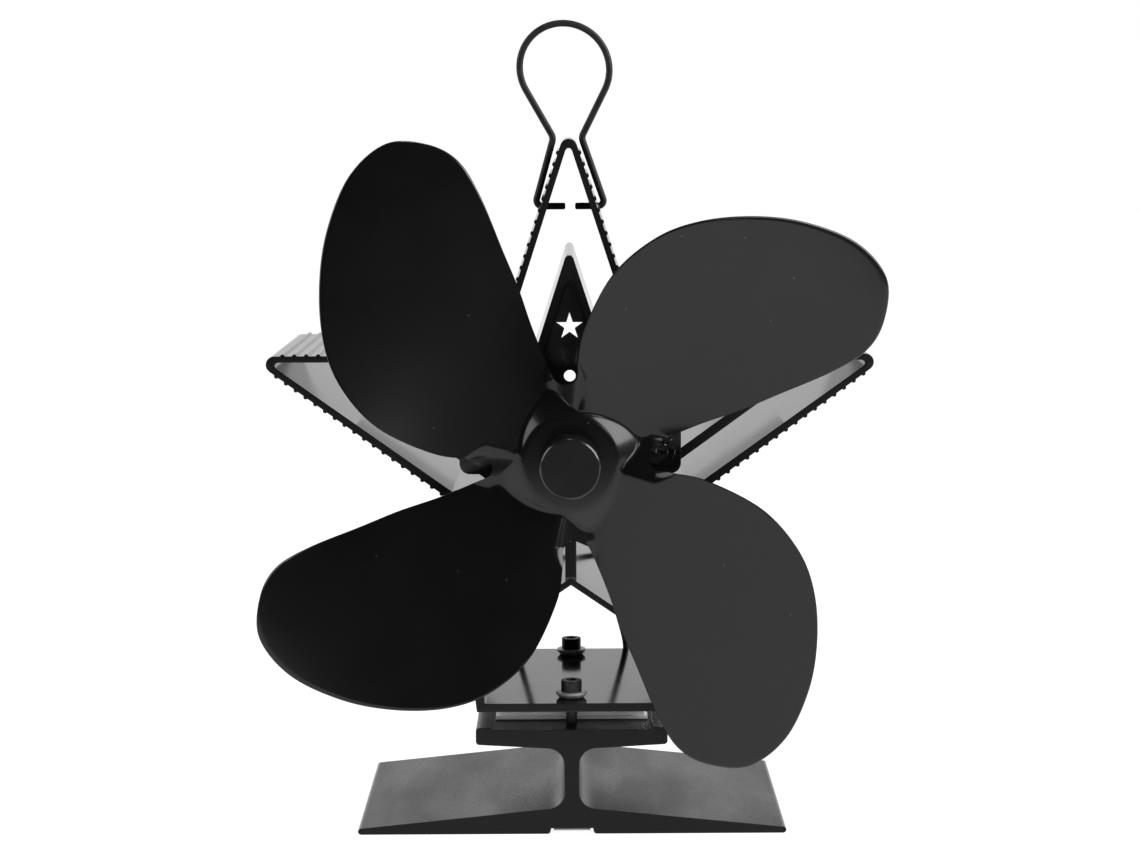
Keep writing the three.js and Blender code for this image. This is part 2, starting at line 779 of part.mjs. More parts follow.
// The rotor turns with the fan
function addRotor() {
  const shaftFront = hubFront + fanSheet
  const shaftBack = endCapBack + endBossProud
  add('motor_shaft', rodY(shaftRadius, shaftFront, shaftBack, 0, axisHeight, smallRoundSteps), 'steel')

  const coreFront = front + armatureSetback
  const coreBack = coreFront + armatureLength
  const bore = rodY(shaftRadius + stripGap, front, canBack, 0, axisHeight, smallRoundSteps)
  const poleAngles = Array.from({ length: poleCount }, (_, k) => up + (k * 2 * Math.PI) / poleCount)
  const necks = poleAngles.map((angle) => {
    const neck = new THREE.BoxGeometry(armatureRadius - shoeThick / 2, armatureLength, poleWidth)
    neck.translate((armatureRadius - shoeThick / 2) / 2, (coreFront + coreBack) / 2, 0)
    return solid(neck.rotateY(-angle).translate(0, 0, axisHeight))
  })
  const shoes = poleAngles.map((angle) => ringSector(armatureRadius - shoeThick, armatureRadius,
    angle, shoeSpan, coreFront, coreBack, shoeSteps))
  const hub = rodY(armatureHub, coreFront, coreBack, 0, axisHeight)
  add('armature_core', cut(join([hub, ...necks, ...shoes]), [bore]), 'castSteel')

  const coilInner = armatureHub + coilHubGap
  const coilOuter = armatureRadius - shoeThick - coilShoeGap
  poleAngles.forEach((angle, k) => {
    const slab = (halfWidth, y0, y1, r0, r1) => {
      const box = new THREE.BoxGeometry(r1 - r0, y1 - y0, 2 * halfWidth)
      box.translate((r0 + r1) / 2, (y0 + y1) / 2, 0)
      return solid(box.rotateY(-angle).translate(0, 0, axisHeight))
    }
    const outer = slab(coilHalfWidth, coreFront - coilOverhang, coreBack + coilOverhang,
      coilInner, coilOuter)
    const window = slab(poleWidth / 2 + seatGap, coreFront - seatGap, coreBack + seatGap,
      coilInner - overrun, coilOuter + overrun)
    add(`armature_coil_${k + 1}`, cut(outer, [window]), 'copper')
  })

  const commutatorFront = front + commutatorSetback
  add('commutator', cut(rodY(commutatorRadius, commutatorFront, commutatorFront + commutatorLength,
    0, axisHeight), [bore]), 'copper')

  const flangeFront = hubFront + fanSheet
  const flangeBack = flangeFront + bushFlangeLength
  const bodyBack = flangeBack + bushBodyLength
  const bush = turned([
    [shaftRadius + stripGap, flangeFront - bushSpigotLength],
    [bushSpigotRadius, flangeFront - bushSpigotLength],
    [bushSpigotRadius, flangeFront],
    [bushFlangeRadius, flangeFront],
    [bushFlangeRadius, flangeBack],
    [bushBodyRadius, flangeBack],
    [bushBodyRadius, bodyBack],
    [shaftRadius + stripGap, bodyBack]
  ])
  const grubY = bodyBack - grubInset
  const grubHole = rodZ(grubRadius + stripGap, axisHeight, axisHeight + bushBodyRadius + overrun, 0,
    grubY, smallRoundSteps)
  add('hub_bush', cut(bush, [grubHole]), 'brass')
  const grubFoot = axisHeight + shaftRadius + stripGap
  const grubHex = rodZ(grubRadius / 2, grubFoot + grubLength / 2, grubFoot + grubLength + overrun, 0,
    grubY, hexSides)
  const grub = rodZ(grubRadius, grubFoot, grubFoot + grubLength, 0, grubY, smallRoundSteps)
  add('grub_screw', cut(grub, [grubHex]), 'darkSteel')

  const capBoreFront = hubFront + fanSheet - bushSpigotLength - capBoreSpare
  add('hub_cap', turned([
    [0, capFront],
    [capRadius - capChamfer, capFront],
    [capRadius, capFront + capChamfer],
    [capRadius, hubFront],
    [bushSpigotRadius + stripGap, hubFront],
    [bushSpigotRadius + stripGap, capBoreFront],
    [0, capBoreFront]
  ], canSteps), 'blackAnodised')
}

// Outline of one blade and the notch before it, along and across the blade, as shares of the radius
const bladeShares = [
  [0.209, -0.041], [0.215, -0.026], [0.243, -0.012], [0.37, 0.006], [0.49, 0.015],
  [0.6, 0.03], [0.76, 0.052], [0.865, 0.085], [0.93, 0.155], [0.96, 0.263], [0.9, 0.38],
  [0.77, 0.474], [0.628, 0.528], [0.486, 0.55], [0.363, 0.534], [0.236, 0.469], [0.13, 0.348],
  [0.09, 0.262], [0.08, 0.226], [0.064, 0.211]
]
const notchFrom = THREE.MathUtils.degToRad(57)
const notchTo = THREE.MathUtils.degToRad(95)
const bossWallShares = [0, 0.25, 0.5, 0.75, 1]
const bladeRingShares = [0.08, 0.2, 0.36, 0.56, 0.78, 1]
const smooth = (value) => THREE.MathUtils.smoothstep(value, 0, 1)

// How far the pitched blade stands in front of the hub plane
function bladeRise(radius, angle) {
  const alongBlade = radius * Math.cos(angle)
  const acrossBlade = radius * Math.sin(angle)
  const share = alongBlade / fanRadius
  const pitch = THREE.MathUtils.lerp(pitchRoot, pitchTip, share)
  return (acrossBlade - bladeHingeLine) * Math.tan(pitch) - bladeDroop * share ** 3
}

// The flat boss and its sloping wall, or the blade where that stands further forward
function sheetRise(x, z) {
  const radius = Math.hypot(x, z)
  const boss = hubRise - Math.max(radius - bossRadius, 0)
  const turn = (2 * Math.PI) / bladeCount
  const start = notchTo - turn
  const angle = THREE.MathUtils.euclideanModulo(Math.atan2(z, x) - fanPhase - start, turn) + start
  const across = smooth((angle - notchFrom) / (notchTo - notchFrom))
  const blades = THREE.MathUtils.lerp(bladeRise(radius, angle), bladeRise(radius, angle - turn), across)
  return Math.max(boss, blades)
}

// One stamped sheet: rings from the bore outwards, on both faces
function fanBody() {
  const corners = []
  for (let k = 0; k < bladeCount; k += 1) {
    const angle = fanPhase + (k * 2 * Math.PI) / bladeCount
    for (const [alongShare, acrossShare] of bladeShares) {
      const x = alongShare * fanRadius
      const z = acrossShare * fanRadius
      corners.push(new THREE.Vector3(x * Math.cos(angle) - z * Math.sin(angle), 0,
        x * Math.sin(angle) + z * Math.cos(angle)))
    }
  }
  const count = corners.length * rimPointsPerShare
  const rim = new THREE.CatmullRomCurve3(corners, true, 'catmullrom').getPoints(count).slice(0, count)
  const hubRings = [hubBore, ...bossWallShares.map((share) => bossRadius + share * bossWallWidth)]
  const firstAngle = fanPhase + Math.atan2(bladeShares[0][1], bladeShares[0][0])
  const rings = []
  for (const radius of hubRings) {
    rings.push(rim.map((_, j) => {
      const angle = firstAngle + (j * 2 * Math.PI) / count
      return [radius * Math.cos(angle), radius * Math.sin(angle)]
    }))
  }
  const inner = rings[rings.length - 1]
  for (const share of bladeRingShares) {
    rings.push(rim.map((point, j) => [
      THREE.MathUtils.lerp(inner[j][0], point.x, share),
      THREE.MathUtils.lerp(inner[j][1], point.z, share)
    ]))
  }
  const places = []
  for (const face of [-1, 1]) {
    for (const ring of rings) {
      for (const [x, z] of ring) {
        places.push(x, fanPlane - sheetRise(x, z) + (face * fanSheet) / 2, axisHeight + z)
      }
    }
  }
  const index = []
  const total = rings.length * count
  const at = (face, ring, j) => face * total + ring * count + (j % count)
  const quad = (a, b, c, d) => index.push(a, b, c, a, c, d)
  for (let j = 0; j < count; j += 1) {
    for (let r = 0; r + 1 < rings.length; r += 1) {
      quad(at(0, r, j), at(0, r + 1, j), at(0, r + 1, j + 1), at(0, r, j + 1))
      quad(at(1, r, j), at(1, r, j + 1), at(1, r + 1, j + 1), at(1, r + 1, j))
    }
    const last = rings.length - 1
    quad(at(0, last, j), at(1, last, j), at(1, last, j + 1), at(0, last, j + 1))
    quad(at(0, 0, j), at(0, 0, j + 1), at(1, 0, j + 1), at(1, 0, j))
  }
  const geometry = new THREE.BufferGeometry()
  geometry.setAttribute('position', new THREE.BufferAttribute(new Float32Array(places), 3))
  geometry.setIndex(index)
  return solid(geometry)
}

// A round wire along a path of points
function wire(points, radius, steps) {
  const section = new THREE.Shape(new THREE.Path().absarc(0, 0, radius, 0, 2 * Math.PI)
    .getSpacedPoints(wireSides).slice(0, wireSides))
  const path = new THREE.CatmullRomCurve3(points, false, 'centripetal')
  const tube = new THREE.ExtrudeGeometry(section, { steps, extrudePath: path, bevelEnabled: false })
  return solid(tube)
}

// The handle: ends through both walls, legs, a neck and a round loop
function addHandle() {
  const legMiddle = (handlePivotHeight + handleNeckHeight) / 2
  const leanAt = (z) => -Math.tan(handleLean) * (z - legMiddle)
  const toCentre = Math.hypot(handleNeckHalf, handleLoopRise)
  const tangent = Math.asin(handleLoopRadius / toCentre) - Math.atan2(handleNeckHalf, handleLoopRise)
  const run = Math.sqrt(toCentre ** 2 - handleLoopRadius ** 2)
  const touch = [handleNeckHalf + run * Math.sin(tangent), handleNeckHeight + run * Math.cos(tangent)]
  const corners = rounded([
    [handleTipReach, handlePivotHeight],
    [handleLegFoot, handlePivotHeight, handleFootRound],
    [handleNeckHalf, handleNeckHeight, handleNeckRound],
    touch
  ], handleBendSteps)
  const half = []
  corners.forEach(([x, z], i) => {
    half.push([x, z])
    const next = corners[i + 1]
    if (!next) return
    const gap = Math.hypot(next[0] - x, next[1] - z)
    const pieces = Math.floor(gap / handleNeckRound)
    for (let k = 1; k < pieces; k += 1) {
      half.push([x + ((next[0] - x) * k) / pieces, z + ((next[1] - z) * k) / pieces])
    }
  })
  const startAngle = Math.atan2(touch[1] - handleLoopHeight, touch[0])
  const sweep = Math.PI - 2 * startAngle
  const loop = []
  for (let k = 1; k < loopSteps; k += 1) {
    loop.push(polar(handleLoopRadius, startAngle + (sweep * k) / loopSteps, handleLoopHeight))
  }
  const points = [...half, ...loop, ...mirrored(half)]
  const path = points.map(([x, z]) => new THREE.Vector3(x + leanAt(z), 0, z))
  add('handle', wire(path, wireRadius, wireSteps), 'blackWire')
}

// Two leads leave the back of the module, rise behind the heat sink and reach the motor
function addLeads() {
  const coreMiddle = deckTop + padThick + ceramicThick + coreThick / 2
  const end = endCapBack + brushTail + seatGap
  for (const [name, s] of sides) {
    const route = [
      [15.3, moduleSide / 2 - moduleForward + seatGap, coreMiddle],
      [15.3, back - 8, coreMiddle],
      [15.3, back - 1, coreMiddle],
      [15.7, back + 2, 32.4],
      [15.5, leadBack, 36.5],
      [13.9, leadBack, 43],
      [12, leadBack, 50],
      [9, leadBack, 62],
      [6.6, leadBack, 74],
      [5.4, leadBack, 84],
      [5.2, back + 1.2, 91.5],
      [5.3, back - 4, 95.6],
      [5.6, end + 30.2, 97.6],
      [5.9, end + 17.2, 99.4],
      [brushX, end + 5.2, axisHeight],
      [brushX, end, axisHeight]
    ]
    const points = route.map(([x, y, z]) => new THREE.Vector3(s * x, y, z))
    add(`teg_lead_${name}`, wire(points, leadRadius, leadSteps), 'leadSleeve')
  }
}

addFoot()
addModule()
add('heat_sink', heatSinkBody(), 'blackAnodised')
addClamps()
addBracket()
addMotor()
addRotor()
add('fan_blade', fanBody(), 'blackPaint')
addHandle()
addLeads()

// The origin is under the middle of the whole object
parts.position.y = -(capFront + leadBack + leadRadius) / 2

export default parts
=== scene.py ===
import json
import math

import bmesh
import bpy
from mathutils import Matrix, Vector
from mathutils.bvhtree import BVHTree


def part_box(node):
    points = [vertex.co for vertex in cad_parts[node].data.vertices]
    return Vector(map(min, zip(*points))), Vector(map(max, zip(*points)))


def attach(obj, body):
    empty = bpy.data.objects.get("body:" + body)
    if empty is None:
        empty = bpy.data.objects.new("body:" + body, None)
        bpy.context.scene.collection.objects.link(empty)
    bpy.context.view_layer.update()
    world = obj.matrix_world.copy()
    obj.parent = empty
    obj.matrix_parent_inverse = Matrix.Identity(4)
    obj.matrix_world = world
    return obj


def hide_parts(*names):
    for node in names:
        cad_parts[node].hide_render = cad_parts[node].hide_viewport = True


# A heat-powered stove fan: satin black extrusions, a stamped four-blade fan and a wire handle.
# Metres, +Z up, the fan faces -Y.

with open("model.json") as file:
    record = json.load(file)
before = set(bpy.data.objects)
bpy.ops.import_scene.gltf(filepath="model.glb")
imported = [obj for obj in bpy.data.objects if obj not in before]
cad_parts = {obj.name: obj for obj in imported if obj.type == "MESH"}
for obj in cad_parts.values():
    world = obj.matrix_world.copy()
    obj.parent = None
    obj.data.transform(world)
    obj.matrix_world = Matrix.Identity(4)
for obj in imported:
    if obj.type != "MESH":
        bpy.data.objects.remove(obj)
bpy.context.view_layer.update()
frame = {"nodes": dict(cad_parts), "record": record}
nodes = frame["nodes"]

MM = 0.001


def middle(name):
    """The middle of a CAD piece's box."""
    low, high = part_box(name)
    return (low + high) / 2


# Places read from the frame
CENTRE_Y = middle("handle").y
AXIS_Z = middle("hub_cap").z
FAN_STAND_OFF = 13 * MM
FAN_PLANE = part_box("heat_sink")[0].y - FAN_STAND_OFF

# Camera, fitted to the corners of the foot, the plate and the star: turns in degrees, lens in mm
CAMERA_PLACE = (0.39 * MM, -671.9 * MM, 184.43 * MM)
CAMERA_TILT = 83.193
CAMERA_ROLL = 0.3
CAMERA_LENS = 80.664
SENSOR_WIDTH = 36

# Extrusions: corner and edge rounds, the foot's round nose, and the ports and rib foot in the star
STAR_CORNER = 0.3 * MM
FOOT_CORNER = 1 * MM
END_EDGE = 0.16 * MM
BRACKET_EDGE = 0.14 * MM
FOOT_TIP = 55 * MM
NOSE_HALF = 0.845 * MM
PORT_RADIUS = 2.9 * MM
PORT_BORE = 1.5 * MM
PORT_DEPTH = 16 * MM
RIB_THICK = 2.9 * MM
RIB_FOOT_TALL = 5 * MM
BITE = 0.4 * MM

# Fan stamping
SHEET = 0.9 * MM
FAN_RADIUS = 92 * MM
FAN_PHASE = math.radians(14.5)
BLADES = 4
PITCH_ROOT = math.radians(24)
PITCH_TIP = math.radians(8)
HINGE_LINE = 1.5 * MM
DROOP = 7 * MM
HUB_BORE = 2.8 * MM

# Fan hub: a raised boss, with a crease from each notch where one blade passes into the next
HUB_RISE = 5 * MM
BOSS_RADIUS = 12.1 * MM
BOSS_EDGE = 0.3 * MM
BOSS_SLOPE = 0.78
BOSS_DOME = 0.12 * MM
VALLEY_WIDTH = 0.9 * MM
NOTCH_ANGLE = math.radians(76)
CREASE_HALF = 8 * MM
CREASE_SHIFT = 1.2 * MM
CREASE_TIP = 0.8 * MM
CREASE_SHARE = 0.37
CREASE_FULL = 20 * MM
CREASE_FADE = 12 * MM

# Outline of one blade, along it and across it, as shares of the fan's radius
BLADE_SHARES = [
    (0.209, -0.041), (0.215, -0.026), (0.243, -0.012), (0.37, 0.006), (0.49, 0.015),
    (0.6, 0.03), (0.76, 0.052), (0.865, 0.085), (0.93, 0.155), (0.96, 0.263), (0.9, 0.38),
    (0.77, 0.474), (0.628, 0.528), (0.486, 0.55), (0.363, 0.534), (0.236, 0.469), (0.13, 0.348),
    (0.09, 0.262), (0.08, 0.226), (0.064, 0.211),
]

# Turned cap
CAP_CHAMFER = 0.45 * MM
CAP_EDGE = 0.12 * MM

# Handle of bent wire
WIRE = 0.9 * MM
PIVOT_Z = 162.3 * MM
TIP_REACH = 1.3 * MM
LEG_FOOT = 9.473 * MM
FOOT_ROUND = 1.5 * MM
NECK_Z = 180.5 * MM
NECK_HALF = 3.75 * MM
NECK_ROUND = 2.6 * MM
LOOP_Z = 198.7 * MM
LOOP_RADIUS = 11.9 * MM
HANDLE_LEAN = math.radians(2.1)
LEG_MIDDLE = (PIVOT_Z + NECK_Z) / 2

# Leads, from the module to the motor: x is mirrored for the left one
LEAD = 0.9 * MM
LEAD_ROUTE = [
    (0.0153, 0.029075, 0.030125), (0.0153, 0.039775, 0.030125), (0.0153, 0.046775, 0.030125),
    (0.0157, 0.049775, 0.0324), (0.0155, 0.050775, 0.0365), (0.0139, 0.050775, 0.043),
    (0.012, 0.050775, 0.05), (0.009, 0.050775, 0.062), (0.0066, 0.050775, 0.074),
    (0.0054, 0.050775, 0.084), (0.0052, 0.048975, 0.0915), (0.0053, 0.043775, 0.0956),
    (0.0056, 0.033775, 0.0976), (0.0059, 0.020775, 0.0994), (0.006, 0.008775, 0.1),
    (0.006, 0.003575, 0.1),
]

# Clamp collars
COLLAR_FLANGE = 0.9 * MM
COLLAR_BORE = 1.6 * MM
COLLAR_SLEEVE = 2.2 * MM
COLLAR_SEAT_SHARE = 0.8
COLLAR_EDGE = 0.25 * MM

# Studio; each lamp has its place, its size and its power
FLOOR_SIZE = (6, 5, 1)
FLOOR_FRONT = 0.64
FLOOR_GREY = 0.85
FLOOR_SHADOW = 0.25
FLOOR_GLOW = 0.9
FLOOR_ROUGH = 0.9
ROOM_DARK = 0.012
ROOM_WHITE = 0.82
ROOM_FILL = 0.5
ROOM_EDGE = (-0.1, 0.15)
ROOM_TOP = (0.74, 0.84)
LAMPS = [
    ("right_soft", (0.9, -0.25, 0.7), 0.8, 17),
    ("left_soft", (-1.0, -0.25, 0.6), 0.7, 6),
    ("top_small", (0, 0.1, 1.2), 0.12, 1.2),
    ("front_soft", (0.6, -0.84, 0.56), 0.2, 0.8),
]

# How finely round shapes are made
TURN_STEPS = 96
RIM_STEPS = 720
BLADE_RINGS = 56
BLADE_RING_GROWTH = 1.3
HUB_RINGS = 40
BOSS_RING_SHARES = (0.5, 0.88, 0.92)
NOTCH_RING_SHARE = 0.94
SHEET_EDGE_STEPS = 4
WIRE_SIDES = 24
WIRE_STEP = 1.2 * MM
WIRE_LIP_SHARE = 0.35
LOOP_STEPS = 72
BEND_STEPS = 10
LEAD_STEPS = 12
LEAD_LIP_SHARE = 0.2
NOSE_STEPS = 10
CORNER_STEPS = 4
EDGE_STEP_SHARE = 0.3

# How outlines read from the CAD are refined, and how far an edge may be cut back
SOFT_TIMES = 2
SOFT_TURN_LEAST = math.radians(4)
SOFT_TURN_MOST = math.radians(38)
SOFT_LENGTH = 3 * MM
SHARP_TURN = math.radians(50)
CORNER_REACH_SHARE = 0.45
CUT_MOST_SHARE = 1 / 3
THIN_BISECTOR = 0.3
INSET_MOST_SHARE = 2.2

# Edges of the CAD pieces that keep their shape
CAD_EDGE = 0.08 * MM
CAD_EDGE_STEPS = 2
CAD_EDGE_TURN = math.radians(40)

# Smallest lengths that count
TINY = 1e-9
SAME_PLACE = 1e-6
SAME_PLACE_DIGITS = 7


# Materials

def new_material(name):
    """A material with its tree and its main shader."""
    material = bpy.data.materials.new(name)
    material.use_nodes = True
    tree = material.node_tree
    shader = tree.nodes["Principled BSDF"]
    return material, tree, shader


def node(tree, kind, inputs=None, **settings):
    """A shader node with its settings, and its inputs set or linked by name or number."""
    made = tree.nodes.new(kind)
    for key, value in settings.items():
        setattr(made, key, value)
    for key, value in (inputs or {}).items():
        socket = made.inputs[key]
        if isinstance(value, bpy.types.NodeSocket):
            tree.links.new(value, socket)
        else:
            socket.default_value = value
    return made


def place(tree, scale=(1, 1, 1), turn=(0, 0, 0)):
    """Object coordinates in metres, stretched by scale and turned."""
    coords = node(tree, "ShaderNodeTexCoord").outputs["Object"]
    inputs = {"Vector": coords, "Rotation": turn, "Scale": scale}
    return node(tree, "ShaderNodeMapping", inputs).outputs["Vector"]


def noise(tree, vector, scale, detail=3, roughness=0.5):
    """Soft noise, its scale in waves per metre."""
    return node(tree, "ShaderNodeTexNoise", {
        "Vector": vector, "Scale": scale, "Detail": detail, "Roughness": roughness,
    }).outputs["Fac"]


def span(tree, value, low, high, from_low=0.3, from_high=0.7, **settings):
    """Value from one range taken to another."""
    return node(tree, "ShaderNodeMapRange", {
        "Value": value, "From Min": from_low, "From Max": from_high, "To Min": low, "To Max": high,
    }, **settings).outputs["Result"]


def combine(tree, operation, first, second):
    """Two values joined by an operation."""
    return node(tree, "ShaderNodeMath", {0: first, 1: second}, operation=operation).outputs["Value"]


def tint(tree, value, dark, light):
    """A colour between two others, the first of which may be another node's."""
    ramp = node(tree, "ShaderNodeMix", {"Factor": value}, data_type="RGBA")
    if isinstance(dark, bpy.types.NodeSocket):
        tree.links.new(dark, ramp.inputs["A"])
    else:
        ramp.inputs["A"].default_value = (*dark, 1)
    ramp.inputs["B"].default_value = (*light, 1)
    return ramp.outputs["Result"]


def bump(tree, height, strength, distance, normal=None):
    """A bumpy normal, laid over another one if it is given."""
    inputs = {"Height": height, "Strength": strength, "Distance": distance}
    if normal is not None:
        inputs["Normal"] = normal
    return node(tree, "ShaderNodeBump", inputs).outputs["Normal"]


def dress(tree, shader, colour, rough, normal):
    """Links what varies over the surface to the shader."""
    for name, value in (("Base Color", colour), ("Roughness", rough), ("Normal", normal)):
        tree.links.new(value, shader.inputs[name])


def finish_anodised():
    """Black anodised extrusion, glossy, with faint lines along its length and cloudy dye."""
    material, tree, shader = new_material("black_anodised")
    lines = noise(tree, place(tree, scale=(1, 0.012, 1)), scale=2600, detail=2)
    clouds = noise(tree, place(tree, scale=(1, 0.5, 1)), scale=95, detail=4)
    grains = noise(tree, place(tree), scale=4200, detail=2)
    colour = tint(tree, span(tree, clouds, 0, 1), (0.0035, 0.0035, 0.0036), (0.006, 0.006, 0.0062))
    fine = bump(tree, grains, strength=0.03, distance=0.01 * MM)
    relief = bump(tree, lines, strength=0.05, distance=0.01 * MM, normal=fine)
    shader.inputs["IOR"].default_value = 1.45
    dress(tree, shader, colour, span(tree, clouds, 0.08, 0.13), relief)
    return material


def finish_foot():
    """Black anodised extrusion with a rougher, clouded skin and faint specks."""
    material, tree, shader = new_material("black_anodised_foot")
    clouds = noise(tree, place(tree, scale=(1, 0.35, 1)), scale=60, detail=4)
    specks = noise(tree, place(tree), scale=1400, detail=4, roughness=0.7)
    colour = tint(tree, span(tree, clouds, 0, 1), (0.004, 0.004, 0.0041), (0.008, 0.008, 0.0082))
    rough = combine(tree, "ADD", span(tree, clouds, 0.22, 0.4), span(tree, specks, -0.05, 0.07))
    shader.inputs["IOR"].default_value = 1.45
    dress(tree, shader, colour, rough, bump(tree, specks, strength=0.2, distance=0.03 * MM))
    return material


def finish_sawn():
    """Sawn and anodised end faces, with fine slanted marks."""
    material, tree, shader = new_material("black_anodised_end")
    slant = math.radians(24)
    marks = noise(tree, place(tree, scale=(1, 1, 0.04), turn=(0, slant, 0)), scale=2300)
    grains = noise(tree, place(tree), scale=3200)
    colour = tint(tree, span(tree, grains, 0, 1), (0.004, 0.004, 0.0041), (0.008, 0.008, 0.0082))
    shader.inputs["Specular IOR Level"].default_value = 0.18
    relief = bump(tree, marks, strength=0.35, distance=0.05 * MM)
    dress(tree, shader, colour, span(tree, grains, 0.36, 0.5), relief)
    return material


def finish_fan():
    """Satin black coating, slightly cloudy, with a few specks of dust."""
    material, tree, shader = new_material("fan_coating")
    clouds = noise(tree, place(tree), scale=60, detail=4)
    peel = noise(tree, place(tree), scale=1500, detail=2)
    specks = node(tree, "ShaderNodeTexVoronoi", {
        "Vector": place(tree), "Scale": 260, "Randomness": 1,
    }, feature="F1").outputs["Distance"]
    rarely = noise(tree, place(tree), scale=190, detail=0)
    dust = combine(tree, "MULTIPLY", span(tree, specks, 1, 0, from_low=0.02, from_high=0.05),
                   span(tree, rarely, 0, 1, from_low=0.56, from_high=0.6))
    coat = tint(tree, span(tree, clouds, 0, 1), (0.0026, 0.0026, 0.0027), (0.0036, 0.0036, 0.0037))
    shader.inputs["Specular IOR Level"].default_value = 0.05
    shader.inputs["Coat Weight"].default_value = 1
    shader.inputs["Coat Roughness"].default_value = 0.17
    shader.inputs["Coat IOR"].default_value = 1.37
    dress(tree, shader, tint(tree, dust, coat, (0.12, 0.12, 0.12)), span(tree, clouds, 0.42, 0.48),
          bump(tree, peel, strength=0.04, distance=0.01 * MM))
    return material


def finish_bracket():
    """Smooth black paint."""
    material, tree, shader = new_material("bracket_coating")
    clouds = noise(tree, place(tree), scale=240)
    peel = noise(tree, place(tree), scale=1800, detail=2)
    colour = tint(tree, span(tree, clouds, 0, 1), (0.0026, 0.0026, 0.0027), (0.004, 0.004, 0.0041))
    relief = bump(tree, peel, strength=0.08, distance=0.02 * MM)
    dress(tree, shader, colour, span(tree, clouds, 0.2, 0.3), relief)
    return material


def finish_wire():
    """Coated wire with light drawing marks."""
    material, tree, shader = new_material("wire_coating")
    marks = noise(tree, place(tree), scale=2400)
    clouds = noise(tree, place(tree), scale=260, detail=2)
    colour = tint(tree, span(tree, clouds, 0, 1), (0.01, 0.01, 0.01), (0.02, 0.02, 0.0203))
    relief = bump(tree, marks, strength=0.12, distance=0.02 * MM)
    shader.inputs["IOR"].default_value = 1.3
    dress(tree, shader, colour, span(tree, clouds, 0.45, 0.55), relief)
    return material


def rings(tree, scale):
    """Rings about the fan axis, for pieces whose origin lies on it."""
    coords = node(tree, "ShaderNodeTexCoord").outputs["Object"]
    parts = node(tree, "ShaderNodeSeparateXYZ", {"Vector": coords})
    flat = node(tree, "ShaderNodeCombineXYZ", {"X": parts.outputs["X"], "Y": parts.outputs["Z"]})
    radius = node(tree, "ShaderNodeVectorMath", {0: flat.outputs["Vector"]}, operation="LENGTH")
    line = node(tree, "ShaderNodeCombineXYZ", {"X": radius.outputs["Value"]})
    return noise(tree, line.outputs["Vector"], scale, detail=2)


def finish_cap():
    """Turned and blackened metal with fine rings."""
    material, tree, shader = new_material("cap_metal")
    marks = rings(tree, scale=9000)
    colour = tint(tree, span(tree, marks, 0, 1), (0.002, 0.002, 0.002), (0.005, 0.005, 0.0051))
    shader.inputs["Anisotropic"].default_value = 0.6
    shader.inputs["Anisotropic Rotation"].default_value = 0.25
    shader.inputs["Specular IOR Level"].default_value = 0.25
    tangent = node(tree, "ShaderNodeTangent", direction_type="RADIAL", axis="Y")
    tree.links.new(tangent.outputs["Tangent"], shader.inputs["Tangent"])
    relief = bump(tree, marks, strength=0.25, distance=0.02 * MM)
    dress(tree, shader, colour, span(tree, marks, 0.3, 0.4), relief)
    return material


def finish_plain(name, dark, light, rough, scale=900, relief=0.15, depth=0.03 * MM, patch=6, metal=0):
    """Plastic, rubber, ceramic or foil with fine grain and wider faint patches."""
    material, tree, shader = new_material(name)
    grains = noise(tree, place(tree), scale)
    clouds = noise(tree, place(tree), scale / patch)
    colour = tint(tree, span(tree, clouds, 0, 1), dark, light)
    shader.inputs["Metallic"].default_value = metal
    dress(tree, shader, colour, span(tree, clouds, *rough), bump(tree, grains, relief, depth))
    return material


def finish_metal(name, dark, light, rough, scale=1500, relief=0.15, metal=1):
    """Metal with fine grain and wider faint patches."""
    return finish_plain(name, dark, light, rough, scale, relief, depth=0.02 * MM, patch=8, metal=metal)


METALS = {
    "zinc_steel": {"dark": (0.3, 0.3, 0.3), "light": (0.66, 0.66, 0.66), "rough": (0.3, 0.45),
                   "scale": 2600, "relief": 0.3, "metal": 0.45},
    "strip_steel": {"dark": (0.24, 0.24, 0.23), "light": (0.34, 0.34, 0.33), "rough": (0.3, 0.42)},
    "can_steel": {"dark": (0.36, 0.36, 0.37), "light": (0.46, 0.46, 0.47), "rough": (0.25, 0.38)},
    "bush_brass": {"dark": (0.52, 0.39, 0.2), "light": (0.66, 0.5, 0.27), "rough": (0.25, 0.38)},
    "coil_copper": {"dark": (0.45, 0.2, 0.1), "light": (0.6, 0.3, 0.16), "rough": (0.3, 0.45)},
    "bearing_bronze": {"dark": (0.36, 0.24, 0.13), "light": (0.46, 0.32, 0.18), "rough": (0.4, 0.55)},
    "dark_metal": {"dark": (0.12, 0.12, 0.124), "light": (0.2, 0.2, 0.204), "rough": (0.08, 0.13),
                   "relief": 0},
}
